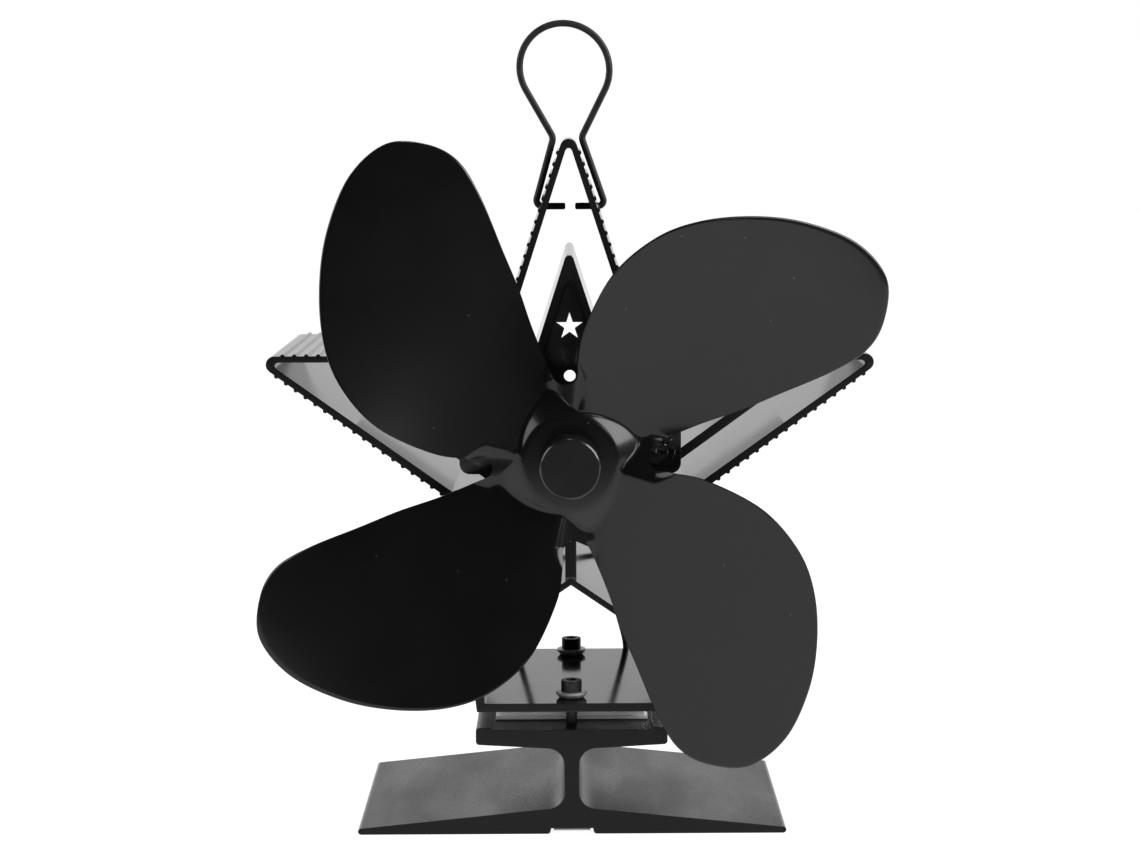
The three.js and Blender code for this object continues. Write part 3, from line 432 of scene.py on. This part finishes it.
PLAINS = {
    "dark_steel": {"dark": (0.004, 0.004, 0.0042), "light": (0.01, 0.01, 0.0103), "rough": (0.14, 0.24)},
    "ceramic": {"dark": (0.86, 0.86, 0.85), "light": (0.97, 0.97, 0.96), "rough": (0.45, 0.6),
                "scale": 1400, "relief": 0.3},
    "graphite": {"dark": (0.05, 0.05, 0.052), "light": (0.09, 0.09, 0.092), "rough": (0.5, 0.65)},
    "black_plastic": {"dark": (0.007, 0.007, 0.007), "light": (0.012, 0.012, 0.012), "rough": (0.4, 0.5)},
    "lead_sleeve": {"dark": (0.008, 0.008, 0.008), "light": (0.014, 0.014, 0.014), "rough": (0.5, 0.62)},
    "magnet": {"dark": (0.05, 0.048, 0.045), "light": (0.08, 0.076, 0.07), "rough": (0.6, 0.7)},
    "black_oxide": {"dark": (0.007, 0.007, 0.007), "light": (0.014, 0.014, 0.0143), "rough": (0.42, 0.58),
                    "scale": 2200, "relief": 0.4},
    "cap_side": {"dark": (0.006, 0.006, 0.006), "light": (0.012, 0.012, 0.0123), "rough": (0.16, 0.22),
                 "scale": 2000, "relief": 0.02},
}
FINISHES = {
    "black_anodised": finish_anodised(),
    "black_anodised_foot": finish_foot(),
    "black_anodised_end": finish_sawn(),
    "fan_coating": finish_fan(),
    "bracket_coating": finish_bracket(),
    "wire_coating": finish_wire(),
    "cap_metal": finish_cap(),
    **{name: finish_metal(name, **look) for name, look in METALS.items()},
    **{name: finish_plain(name, **look) for name, look in PLAINS.items()},
}

# Places of the finishes in an extrusion's list
SKIN, ENDS, NOSES = range(3)

# CAD pieces whose finish isn't the one that their material slot names, by how their names start
SPECIAL_FINISHES = {
    "clamp_screw": "black_oxide",
    "bracket_screw": "dark_metal",
    "bracket_washer": "dark_metal",
}


# Mesh helpers

def new_piece(name, mesh_builder, slot, replaced, body, finishes=None, origin=(0, 0, 0), smooth=30,
              flats=False):
    """Makes a piece from a bmesh, gives it its finishes and hangs it on its body.

    Edges that turn by more than smooth degrees are sharp. With flats, big flat faces stay flat to the eye.
    """
    mesh = bpy.data.meshes.new(name)
    mesh_builder.normal_update()
    mesh_builder.to_mesh(mesh)
    mesh_builder.free()
    mesh.polygons.foreach_set("use_smooth", [True] * len(mesh.polygons))
    mesh.set_sharp_from_angle(angle=math.radians(smooth))
    piece = bpy.data.objects.new(name, mesh)
    bpy.context.scene.collection.objects.link(piece)
    piece.location = origin
    for finish in finishes or [slot]:
        mesh.materials.append(FINISHES[finish])
    if flats:
        weighted = piece.modifiers.new("flat_faces", "WEIGHTED_NORMAL")
        weighted.mode = "FACE_AREA"
        weighted.weight = 100
        weighted.keep_sharp = True
    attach(piece, body)
    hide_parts(*replaced)
    return piece


def catmull(points, closed, per_span, power=0.5):
    """Points on a Catmull-Rom curve; power 0.5 is the centripetal kind and 0 the uniform one."""
    count = len(points)
    spans = count if closed else count - 1
    out = []
    for i in range(spans):
        p1 = points[i]
        p2 = points[(i + 1) % count]
        p0 = points[i - 1] if closed or i > 0 else p1 + (p1 - p2)
        p3 = points[(i + 2) % count] if closed or i + 2 < count else p2 + (p2 - p1)
        d1, d2, d3 = ((b - a).length ** power for a, b in ((p0, p1), (p1, p2), (p2, p3)))
        m1 = (p1 - p0) / d1 - (p2 - p0) / (d1 + d2) + (p2 - p1) / d2
        m2 = (p2 - p1) / d2 - (p3 - p1) / (d2 + d3) + (p3 - p2) / d3
        for k in range(per_span):
            t = k / per_span
            a, b = m1 * d2, m2 * d2
            out.append(p1 * (2 * t ** 3 - 3 * t ** 2 + 1) + a * (t ** 3 - 2 * t ** 2 + t)
                       + p2 * (3 * t ** 2 - 2 * t ** 3) + b * (t ** 3 - t ** 2))
    if not closed:
        out.append(points[-1].copy())
    return out


def around(count):
    """The cosine and sine of each of count equal steps around a circle."""
    turns = [2 * math.pi * k / count for k in range(count)]
    return [(math.cos(turn), math.sin(turn)) for turn in turns]


def bridge(bm, first, second):
    """Faces between two rings with as many points each."""
    made = []
    for k in range(len(first)):
        n = (k + 1) % len(first)
        made.append(bm.faces.new((first[k], first[n], second[n], second[k])))
    return made


def sweep(bm, path, radius, lip_share):
    """A round wire along a path, its ends cut back by a share of its radius."""
    def ring(centre, across, over, size):
        return [bm.verts.new(centre + across * (size * c) + over * (size * s))
                for c, s in around(WIRE_SIDES)]

    heading = (path[1] - path[0]).normalized()
    across = heading.orthogonal().normalized()
    made = []
    lip = radius * lip_share
    for i, point in enumerate(path):
        ahead = path[min(i + 1, len(path) - 1)] - path[max(i - 1, 0)]
        ahead.normalize()
        across = (across - ahead * across.dot(ahead)).normalized()
        over = ahead.cross(across)
        if i == 0:
            made.append(ring(point, across, over, radius - lip))
            made.append(ring(point + ahead * lip, across, over, radius))
        elif i == len(path) - 1:
            made.append(ring(point - ahead * lip, across, over, radius))
            made.append(ring(point, across, over, radius - lip))
        else:
            made.append(ring(point, across, over, radius))
    for a, b in zip(made, made[1:]):
        bridge(bm, a, b)
    bm.faces.new(list(reversed(made[0])))
    bm.faces.new(made[-1])
    bmesh.ops.recalc_face_normals(bm, faces=bm.faces)


def lathe(bm, profile, axis="y", centre=(0, 0, 0)):
    """A closed profile of (radius, along) turned about an axis. Radius 0 closes to a point."""
    centre = Vector(centre)

    def spot(across, along, over):
        return centre + Vector((across, along, over) if axis == "y" else (across, over, along))

    columns = []
    for radius, along in profile:
        turns = around(TURN_STEPS) if radius > TINY else [(0, 0)]
        columns.append([bm.verts.new(spot(radius * c, along, radius * s)) for c, s in turns])
    pairs = list(zip(columns, columns[1:]))
    if profile[0][0] > TINY:
        pairs.append((columns[-1], columns[0]))
    made = []
    for a, b in pairs:
        if len(a) == len(b):
            made += bridge(bm, a, b)
            continue
        (point,), ring = sorted((a, b), key=len)
        for k in range(TURN_STEPS):
            made.append(bm.faces.new((point, ring[k], ring[(k + 1) % TURN_STEPS])))
    bmesh.ops.recalc_face_normals(bm, faces=made)
    return made


def edged(profile, size):
    """The profile with each corner cut back by up to size, in two steps, so that edges catch light."""
    out = []
    count = len(profile)
    for i, (r, y) in enumerate(profile):
        here = Vector((r, y))
        before = Vector(profile[i - 1])
        after = Vector(profile[(i + 1) % count])
        if r < TINY:
            out.append((r, y))
            continue
        a, b = (here + (other - here).normalized() * min(size, (other - here).length * CUT_MOST_SHARE)
                for other in (before, after))
        out += [tuple(a), tuple((a + b) / 4 + here / 2), tuple(b)]
    return out


def area(loop):
    """The area inside an outline, positive where it runs counter-clockwise."""
    return sum(a[0] * b[1] - b[0] * a[1] for a, b in zip(loop, loop[1:] + loop[:1])) / 2


def cap_loops(name, y):
    """Outlines [(x, z)] of the flat end of a CAD piece at y; the first one is the outer outline."""
    mesh = nodes[name].data
    used = {}
    for polygon in mesh.polygons:
        corners = [mesh.vertices[v].co for v in polygon.vertices]
        if any(abs(c.y - y) > SAME_PLACE for c in corners):
            continue
        keys = [(round(c.x, SAME_PLACE_DIGITS), round(c.z, SAME_PLACE_DIGITS)) for c in corners]
        for a, b in zip(keys, keys[1:] + keys[:1]):
            if (b, a) in used:
                del used[(b, a)]
            else:
                used[(a, b)] = True
    following = {}
    for a, b in used:
        following.setdefault(a, []).append(b)
    loops = []
    while following:
        start = next(iter(following))
        loop, here = [], start
        while True:
            loop.append(here)
            after = following[here].pop()
            if not following[here]:
                del following[here]
            here = after
            if here == start:
                break
        loops.append(loop)
    loops.sort(key=lambda loop: -abs(area(loop)))
    outer, *holes = loops
    turned = [outer if area(outer) > 0 else outer[::-1]]
    return turned + [hole if area(hole) < 0 else hole[::-1] for hole in holes]


def eased(loop):
    """The outline with a point added near the middle of each short edge of a round stretch.

    The point comes from the four-point rule, with both outer neighbours taken at the edge's own length.
    """
    points = [Vector(p) for p in loop]
    count = len(points)

    def turn(i):
        a = points[i] - points[i - 1]
        b = points[(i + 1) % count] - points[i]
        return abs(a.angle_signed(b)) if min(a.length, b.length) > TINY else 0

    soft = [SOFT_TURN_LEAST < turn(i) < SOFT_TURN_MOST for i in range(count)]
    out = []
    for i in range(count):
        p1, p2 = points[i], points[(i + 1) % count]
        out.append(tuple(p1))
        edge = (p2 - p1).length
        if soft[i] and soft[(i + 1) % count] and edge < SOFT_LENGTH:
            before = points[i - 1] - p1
            after = points[(i + 2) % count] - p2
            p0 = p1 + before.normalized() * edge
            p3 = p2 + after.normalized() * edge
            out.append(tuple((9 * p1 + 9 * p2 - p0 - p3) / 16))
    return out


def rounded(loop, radius):
    """The outline with its sharp outward corners rounded."""
    points = [Vector(p) for p in loop]
    out = []
    for i, point in enumerate(points):
        before = points[i - 1] - point
        after = points[(i + 1) % len(points)] - point
        turn = math.atan2(before.y * after.x - before.x * after.y, -before.dot(after))
        if turn < SHARP_TURN:
            out.append(tuple(point))
            continue
        most = CORNER_REACH_SHARE * min(before.length, after.length)
        reach = min(radius * math.tan(turn / 2), most)
        a, b = point + before.normalized() * reach, point + after.normalized() * reach
        for k in range(CORNER_STEPS + 1):
            t = k / CORNER_STEPS
            out.append(tuple(a * (1 - t) ** 2 + point * 2 * t * (1 - t) + b * t ** 2))
    return out


def inset(loop, distance):
    """The outline moved into the material, which lies to its left, by distance."""
    points = [Vector(p) for p in loop]
    out = []
    for i, point in enumerate(points):
        a = (point - points[i - 1]).normalized()
        b = (points[(i + 1) % len(points)] - point).normalized()
        na, nb = Vector((-a.y, a.x)), Vector((-b.y, b.x))
        bisector = na + nb
        size = bisector.length
        if size < THIN_BISECTOR:
            out.append(tuple(point + na * distance))
            continue
        reach = min(distance / (size / 2), INSET_MOST_SHARE * distance)
        out.append(tuple(point + bisector / size * reach))
    return out


def extrude(bm, loops, y0, y1, edge, end_finish=SKIN):
    """A straight extrusion of outlines with holes, its end edges rounded by edge."""
    step = EDGE_STEP_SHARE * edge
    layers = [(y0, edge), (y0 + step, step), (y0 + edge, 0),
              (y1 - edge, 0), (y1 - step, step), (y1, edge)]
    ends = {0: [], len(layers) - 1: []}
    for loop in loops:
        rows = [[bm.verts.new((x, y, z)) for x, z in (inset(loop, back) if back else loop)]
                for y, back in layers]
        for a, b in zip(rows, rows[1:]):
            bridge(bm, a, b)
        for at in ends:
            row = rows[at]
            for k in range(len(row)):
                found = bm.edges.get((row[k], row[(k + 1) % len(row)]))
                ends[at].append(found)
    for at, edges in ends.items():
        filled = bmesh.ops.triangle_fill(bm, edges=edges, use_beauty=True, use_dissolve=False)
        for face in filled["geom"]:
            if isinstance(face, bmesh.types.BMFace):
                face.material_index = end_finish
    bmesh.ops.recalc_face_normals(bm, faces=bm.faces)


# Pieces of the frame body

def softened(loops):
    """The outlines with their round stretches made smoother."""
    for _ in range(SOFT_TIMES):
        loops = [eased(loop) for loop in loops]
    return loops


def nosed(loop, reach):
    """The foot outline with a round nose at each end of its flange."""
    out, done = [], set()
    for x, z in loop:
        side = 1 if x > 0 else -1
        if abs(x) < FOOT_TIP:
            out.append((x, z))
        elif side not in done:
            done.add(side)
            for k in range(NOSE_STEPS + 1):
                turn = side * math.pi * (k / NOSE_STEPS - 0.5)
                across = FOOT_TIP + (reach - FOOT_TIP) * math.cos(turn)
                out.append((side * across, NOSE_HALF * (1 + math.sin(turn))))
    return out


def add_bar(bm, low, high):
    """A plain bar inside an extrusion, from one corner to the opposite one."""
    place_at = Matrix.Translation((low + high) / 2) @ Matrix.Diagonal((*(high - low), 1))
    bmesh.ops.create_cube(bm, size=1, matrix=place_at)


def add_ports(bm, front):
    """The screw ports inside the star, each a tube on a stem that grows from the wall below it."""
    walls = BVHTree.FromBMesh(bm)
    back = front + PORT_DEPTH
    tube = [(PORT_BORE, front), (PORT_RADIUS, front), (PORT_RADIUS, back), (PORT_BORE, back)]
    for name in ("left", "right"):
        screw = middle(f"bracket_screw_{name}")
        lathe(bm, tube, centre=(screw.x, 0, screw.z))
        top = Vector((screw.x, (front + back) / 2, screw.z - PORT_RADIUS))
        wall = walls.ray_cast(top, Vector((0, 0, -1)))[0]
        add_bar(bm, Vector((screw.x - PORT_RADIUS / 2, front, wall.z - BITE)),
                Vector((screw.x + PORT_RADIUS / 2, back, top.z + BITE)))


def add_rib_foot(bm, front, back):
    """The lowest rib's foot, which carries it down into the peak of the chamber's roof."""
    walls = BVHTree.FromBMesh(bm)
    chamber = Vector((0, (front + back) / 2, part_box("clamp_screw_front")[1].z + RIB_FOOT_TALL))
    roof = walls.ray_cast(chamber, Vector((0, 0, 1)))[0].z + BITE
    add_bar(bm, Vector((-RIB_THICK / 2, front + END_EDGE / 2, roof)),
            Vector((RIB_THICK / 2, back - END_EDGE / 2, roof + RIB_FOOT_TALL)))


def make_star():
    """The star-shaped heat sink, with sawn ends."""
    low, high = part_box("heat_sink")
    bm = bmesh.new()
    loops = [rounded(loop, STAR_CORNER) for loop in softened(cap_loops("heat_sink", high.y))]
    extrude(bm, loops, low.y, high.y, END_EDGE, ENDS)
    add_ports(bm, low.y)
    add_rib_foot(bm, low.y, high.y)
    new_piece("star_extrusion", bm, "black_anodised", ["heat_sink"], "frame",
              ["black_anodised", "black_anodised_end"], flats=True)


def make_foot():
    """The foot, with sawn ends and glossy noses."""
    low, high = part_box("base_foot")
    bm = bmesh.new()
    outline, *holes = [rounded(loop, FOOT_CORNER) for loop in softened(cap_loops("base_foot", high.y))]
    extrude(bm, [nosed(outline, high.x), *holes], low.y, high.y, END_EDGE, ENDS)
    for face in bm.faces:
        if face.material_index == SKIN and abs(face.calc_center_median().x) > FOOT_TIP:
            face.material_index = NOSES
    new_piece("foot_extrusion", bm, "black_anodised", ["base_foot"], "frame",
              ["black_anodised_foot", "black_anodised_end", "black_anodised"], flats=True)


def make_bracket():
    """The flat motor bracket with its cut-outs."""
    low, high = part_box("motor_bracket")
    bm = bmesh.new()
    extrude(bm, softened(cap_loops("motor_bracket", low.y)), low.y, high.y, BRACKET_EDGE)
    new_piece("bracket_plate", bm, "bracket_coating", ["motor_bracket"], "frame", flats=True)


def make_collars():
    """The light flanged collar of each clamp screw, down to the plate."""
    for name in ("front", "rear"):
        low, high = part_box(f"clamp_washer_{name}")
        centre = middle(f"clamp_washer_{name}")
        radius = (high.x - low.x) / 2
        seat = low.z - COLLAR_FLANGE
        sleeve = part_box(f"insulating_washer_{name}")[0].z
        profile = [(COLLAR_BORE, sleeve), (COLLAR_SLEEVE, sleeve), (COLLAR_SLEEVE, seat),
                   (COLLAR_SEAT_SHARE * radius, seat), (radius, low.z), (radius, high.z),
                   (COLLAR_BORE, high.z)]
        bm = bmesh.new()
        lathe(bm, edged(profile, COLLAR_EDGE), axis="z", centre=(centre.x, centre.y, 0))
        new_piece(f"collar_{name}", bm, "zinc_steel",
                  [f"clamp_washer_{name}", f"insulating_washer_{name}"], "frame", smooth=50)


# Fan

def smooth_step(value):
    """A soft step from 0 to 1."""
    value = max(0.0, min(1.0, value))
    return value * value * (3 - 2 * value)


def smoother_step(value):
    """A soft step from 0 to 1, with no jump in how it curves."""
    value = max(0.0, min(1.0, value))
    return value ** 3 * (value * (6 * value - 15) + 10)


def lerp(a, b, share):
    """The value at a share of the way between two."""
    return a + (b - a) * share


def blade_rise(radius, angle):
    """How far a pitched blade stands in front of the fan plane, at an angle from its middle line."""
    along = radius * math.cos(angle)
    across = radius * math.sin(angle)
    share = along / FAN_RADIUS
    pitch = lerp(PITCH_ROOT, PITCH_TIP, share)
    return (across - HINGE_LINE) * math.tan(pitch) - DROOP * share ** 3


def boss_rise(radius):
    """The raised middle: flat, then a rounded edge and a steep side."""
    over = (radius - BOSS_RADIUS) / BOSS_EDGE
    eased_over = max(over, 0) + math.log1p(math.exp(-abs(over)))
    return HUB_RISE - BOSS_DOME * (radius / BOSS_RADIUS) ** 2 - BOSS_SLOPE * BOSS_EDGE * eased_over


def sheet_rise(x, z):
    """How far the sheet stands in front of the fan plane."""
    radius = math.hypot(x, z)
    turn = 2 * math.pi / BLADES
    start = NOTCH_ANGLE - turn / 2
    angle = (math.atan2(z, x) - FAN_PHASE - start) % turn + start
    beside = (angle - NOTCH_ANGLE) * radius - CREASE_SHIFT
    fade = smooth_step((radius - CREASE_FULL) / CREASE_FADE)
    half = min(CREASE_SHARE * radius, lerp(CREASE_HALF, CREASE_TIP, fade))
    blades = lerp(blade_rise(radius, angle), blade_rise(radius, angle - turn),
                  smoother_step((beside + half) / (2 * half)))
    boss = boss_rise(radius)
    near = max(VALLEY_WIDTH - abs(boss - blades), 0) / VALLEY_WIDTH
    return max(boss, blades) + near * near * VALLEY_WIDTH / 4


def fan_outline():
    """The sheet's outline: the same blade repeated around the axis."""
    corners = []
    for k in range(BLADES):
        angle = FAN_PHASE + k * 2 * math.pi / BLADES
        for along, across in BLADE_SHARES:
            x, z = along * FAN_RADIUS, across * FAN_RADIUS
            corners.append(Vector((x * math.cos(angle) - z * math.sin(angle),
                                   x * math.sin(angle) + z * math.cos(angle))))
    return catmull(corners, closed=True, per_span=RIM_STEPS // len(corners), power=0)


def fan_rows(rim):
    """Rings of points from the bore to the outline, round in the hub and shaped like the rim outside."""
    count = len(rim)
    notch = min(point.length for point in rim)
    first = FAN_PHASE + math.atan2(BLADE_SHARES[0][1], BLADE_SHARES[0][0])
    bore_share, flat_share, wall_share = BOSS_RING_SHARES
    radii = [HUB_BORE, lerp(HUB_BORE, BOSS_RADIUS, bore_share), flat_share * BOSS_RADIUS]
    radii += [lerp(wall_share * BOSS_RADIUS, NOTCH_RING_SHARE * notch, k / HUB_RINGS)
              for k in range(HUB_RINGS + 1)]
    angles = [first + j * 2 * math.pi / count for j in range(count)]
    rows = [[Vector((radius * math.cos(a), radius * math.sin(a))) for a in angles] for radius in radii]
    inner = rows[-1]
    for k in range(1, BLADE_RINGS + 1):
        share = (k / BLADE_RINGS) ** BLADE_RING_GROWTH
        rows.append([a.lerp(b, share) for a, b in zip(inner, rim)])
    return rows


def make_fan():
    """The stamped sheet: rings from the bore to the outline, on both faces, with a rounded rim."""
    *rows, out = fan_rows(fan_outline())
    count = len(out)
    half = SHEET / 2
    outward = []
    for j in range(count):
        along = (out[(j + 1) % count] - out[j - 1]).normalized()
        outward.append(Vector((along.y, -along.x)))
    bm = bmesh.new()

    def put(point, offset):
        x, z = point
        return bm.verts.new((x, FAN_PLANE - sheet_rise(x, z) + offset, z))

    columns = [[put(point, -half) for point in row] for row in rows]
    for k in range(SHEET_EDGE_STEPS + 1):
        angle = math.pi * k / SHEET_EDGE_STEPS
        back = half * (1 - math.sin(angle))
        columns.append([put(point - away * back, -half * math.cos(angle))
                        for point, away in zip(out, outward)])
    columns += [[put(point, half) for point in row] for row in reversed(rows)]
    for a, b in zip(columns, columns[1:] + columns[:1]):
        for j in range(count):
            n = (j + 1) % count
            bm.faces.new((a[j], b[j], b[n], a[n]))
    bmesh.ops.recalc_face_normals(bm, faces=bm.faces)
    new_piece("fan_sheet", bm, "fan_coating", ["fan_blade"], "rotor", origin=(0, 0, AXIS_Z), smooth=60)


def make_cap():
    """The turned cap, with turning rings on its face only."""
    low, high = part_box("hub_cap")
    radius = (high.x - low.x) / 2
    face_radius = radius - CAP_CHAMFER
    profile = [(0, low.y), (face_radius, low.y), (radius, low.y + CAP_CHAMFER), (radius, high.y),
               (0, high.y)]
    bm = bmesh.new()
    for face in lathe(bm, edged(profile, CAP_EDGE)):
        centre = face.calc_center_median()
        face.material_index = int(math.hypot(centre.x, centre.z) > face_radius)
    new_piece("turned_cap", bm, "cap_metal", ["hub_cap"], "rotor", ["cap_metal", "cap_side"],
              origin=(0, 0, AXIS_Z), flats=True)


# Handle and leads

def bend(before, corner, after, radius):
    """Points of the arc that rounds a corner."""
    a = (before - corner).normalized()
    b = (after - corner).normalized()
    half = a.angle(b) / 2
    reach = radius / math.tan(half)
    centre = corner + (a + b).normalized() * (radius / math.sin(half))
    start = corner + a * reach - centre
    end = corner + b * reach - centre
    turn = start.angle(end)
    out = []
    for k in range(BEND_STEPS + 1):
        share = k / BEND_STEPS
        out.append(centre + (start * math.sin((1 - share) * turn) + end * math.sin(share * turn))
                   / math.sin(turn))
    return out


def make_handle():
    """One bent wire: a half outline from its tip to the top of the loop, mirrored, then leaned over."""
    rise = LOOP_Z - NECK_Z
    to_centre = math.hypot(NECK_HALF, rise)
    tangent = math.asin(LOOP_RADIUS / to_centre) - math.atan2(NECK_HALF, rise)
    run = math.sqrt(to_centre ** 2 - LOOP_RADIUS ** 2)
    touch = Vector((NECK_HALF + run * math.sin(tangent), NECK_Z + run * math.cos(tangent)))
    tip = Vector((TIP_REACH, PIVOT_Z))
    foot = Vector((LEG_FOOT, PIVOT_Z))
    neck = Vector((NECK_HALF, NECK_Z))
    half = [tip, *bend(tip, foot, neck, FOOT_ROUND), *bend(foot, neck, touch, NECK_ROUND), touch]
    start = math.atan2(touch.y - LOOP_Z, touch.x)
    turns = [lerp(start, math.pi - start, k / LOOP_STEPS) for k in range(1, LOOP_STEPS)]
    loop = [Vector((LOOP_RADIUS * math.cos(turn), LOOP_Z + LOOP_RADIUS * math.sin(turn)))
            for turn in turns]
    outline = half + loop + [Vector((-p.x, p.y)) for p in reversed(half)]
    dense = []
    for a, b in zip(outline, outline[1:]):
        pieces = max(1, round((b - a).length / WIRE_STEP))
        dense += [a.lerp(b, k / pieces) for k in range(pieces)]
    dense.append(outline[-1])
    slant = math.tan(HANDLE_LEAN)
    path = [Vector((p.x - slant * (p.y - LEG_MIDDLE), CENTRE_Y, p.y)) for p in dense]
    bm = bmesh.new()
    sweep(bm, path, WIRE, WIRE_LIP_SHARE)
    new_piece("wire_handle", bm, "wire_coating", ["handle"], "handle", smooth=50)


def make_leads():
    """The module's two leads, up behind the star and forward to the motor."""
    for name, side in (("left", -1), ("right", 1)):
        route = [Vector((side * x, y, z)) for x, y, z in LEAD_ROUTE]
        path = catmull(route, closed=False, per_span=LEAD_STEPS)
        bm = bmesh.new()
        sweep(bm, path, LEAD, LEAD_LIP_SHARE)
        new_piece(f"lead_{name}", bm, "lead_sleeve", [f"teg_lead_{name}"], "frame", smooth=50)


def dress_cad():
    """The remaining CAD pieces keep their shape and get a finish and softer edges."""
    slots = {row["node"]: row["material_slot"] for row in frame["record"]["subparts"]}
    for name, piece in nodes.items():
        if piece.hide_render:
            continue
        special = [SPECIAL_FINISHES[start] for start in SPECIAL_FINISHES if name.startswith(start)]
        piece.data.materials.clear()
        piece.data.materials.append(FINISHES[special[0] if special else slots[name]])
        weld = piece.modifiers.new("weld", "WELD")
        weld.merge_threshold = SAME_PLACE
        bevel = piece.modifiers.new("edges", "BEVEL")
        bevel.width = CAD_EDGE
        bevel.segments = CAD_EDGE_STEPS
        bevel.limit_method = "ANGLE"
        bevel.angle_limit = CAD_EDGE_TURN


# Stage

def make_floor():
    """White floor; near the object it keeps a faint shadow, and it shows white in reflections."""
    bpy.ops.mesh.primitive_plane_add(size=1)
    floor = bpy.context.object
    floor.name = "floor"
    floor.scale = FLOOR_SIZE
    floor.location = (0, FLOOR_SIZE[1] / 2 - FLOOR_FRONT, 0)
    material, tree, shader = new_material("floor_white")
    rays = node(tree, "ShaderNodeLightPath").outputs
    shader.inputs["Roughness"].default_value = FLOOR_ROUGH
    shader.inputs["Specular IOR Level"].default_value = 0
    tree.links.new(span(tree, rays["Is Diffuse Ray"], FLOOR_SHADOW, FLOOR_GREY, 0, 1),
                   shader.inputs["Base Color"])
    seen = combine(tree, "MAXIMUM", rays["Is Camera Ray"], rays["Is Glossy Ray"])
    seen = combine(tree, "MAXIMUM", seen, rays["Is Transmission Ray"])
    glow = node(tree, "ShaderNodeEmission", {
        "Strength": span(tree, seen, 0, FLOOR_GLOW, 0, 1)}).outputs["Emission"]
    both = node(tree, "ShaderNodeAddShader", {0: shader.outputs["BSDF"], 1: glow}).outputs["Shader"]
    tree.links.new(both, tree.nodes["Material Output"].inputs["Surface"])
    material.cycles.emission_sampling = "NONE"
    floor.data.materials.append(material)


def make_world():
    """White behind the object, dark in front and above, with plain light for matt surfaces."""
    world = bpy.data.worlds.new("studio")
    bpy.context.scene.world = world
    world.use_nodes = True
    world.cycles.sampling_method = "NONE"
    tree = world.node_tree
    direction = node(tree, "ShaderNodeTexCoord").outputs["Generated"]
    parts = node(tree, "ShaderNodeSeparateXYZ", {"Vector": direction}).outputs
    behind = span(tree, parts["Y"], 0, 1, *ROOM_EDGE, interpolation_type="SMOOTHSTEP")
    below = span(tree, parts["Z"], 1, 0, *ROOM_TOP, interpolation_type="SMOOTHSTEP")
    white = span(tree, combine(tree, "MULTIPLY", behind, below), ROOM_DARK, ROOM_WHITE, 0, 1)
    rays = node(tree, "ShaderNodeLightPath").outputs
    diffuse = node(tree, "ShaderNodeMix", {
        "Factor": rays["Is Diffuse Ray"], "A": white, "B": ROOM_FILL}).outputs["Result"]
    seen = combine(tree, "MAXIMUM", rays["Is Camera Ray"], rays["Is Transmission Ray"])
    level = combine(tree, "MAXIMUM", seen, diffuse)
    tree.links.new(level, tree.nodes["Background"].inputs["Strength"])
    tree.nodes["Background"].inputs["Color"].default_value = (1, 1, 1, 1)


def make_lights():
    """Soft lamps, all aimed at the fan's axis."""
    for name, spot, size, power in LAMPS:
        data = bpy.data.lights.new(name, "AREA")
        data.shape = "SQUARE"
        data.size = size
        data.energy = power
        lamp = bpy.data.objects.new(name, data)
        lamp.location = spot
        aim = Vector((0, 0, AXIS_Z)) - Vector(spot)
        lamp.rotation_euler = aim.to_track_quat("-Z", "Y").to_euler()
        bpy.context.scene.collection.objects.link(lamp)


def make_camera():
    """The photograph's camera."""
    data = bpy.data.cameras.new("camera")
    data.lens = CAMERA_LENS
    data.sensor_width = SENSOR_WIDTH
    data.sensor_fit = "HORIZONTAL"
    camera = bpy.data.objects.new("camera", data)
    camera.location = CAMERA_PLACE
    camera.rotation_euler = (math.radians(CAMERA_TILT), math.radians(CAMERA_ROLL), 0)
    bpy.context.scene.collection.objects.link(camera)
    bpy.context.scene.camera = camera


make_camera()
make_star()
make_foot()
make_bracket()
make_fan()
make_cap()
make_handle()
make_leads()
make_collars()
dress_cad()
make_floor()
make_world()
make_lights()

scene = bpy.context.scene
scene.view_settings.view_transform = "Standard"
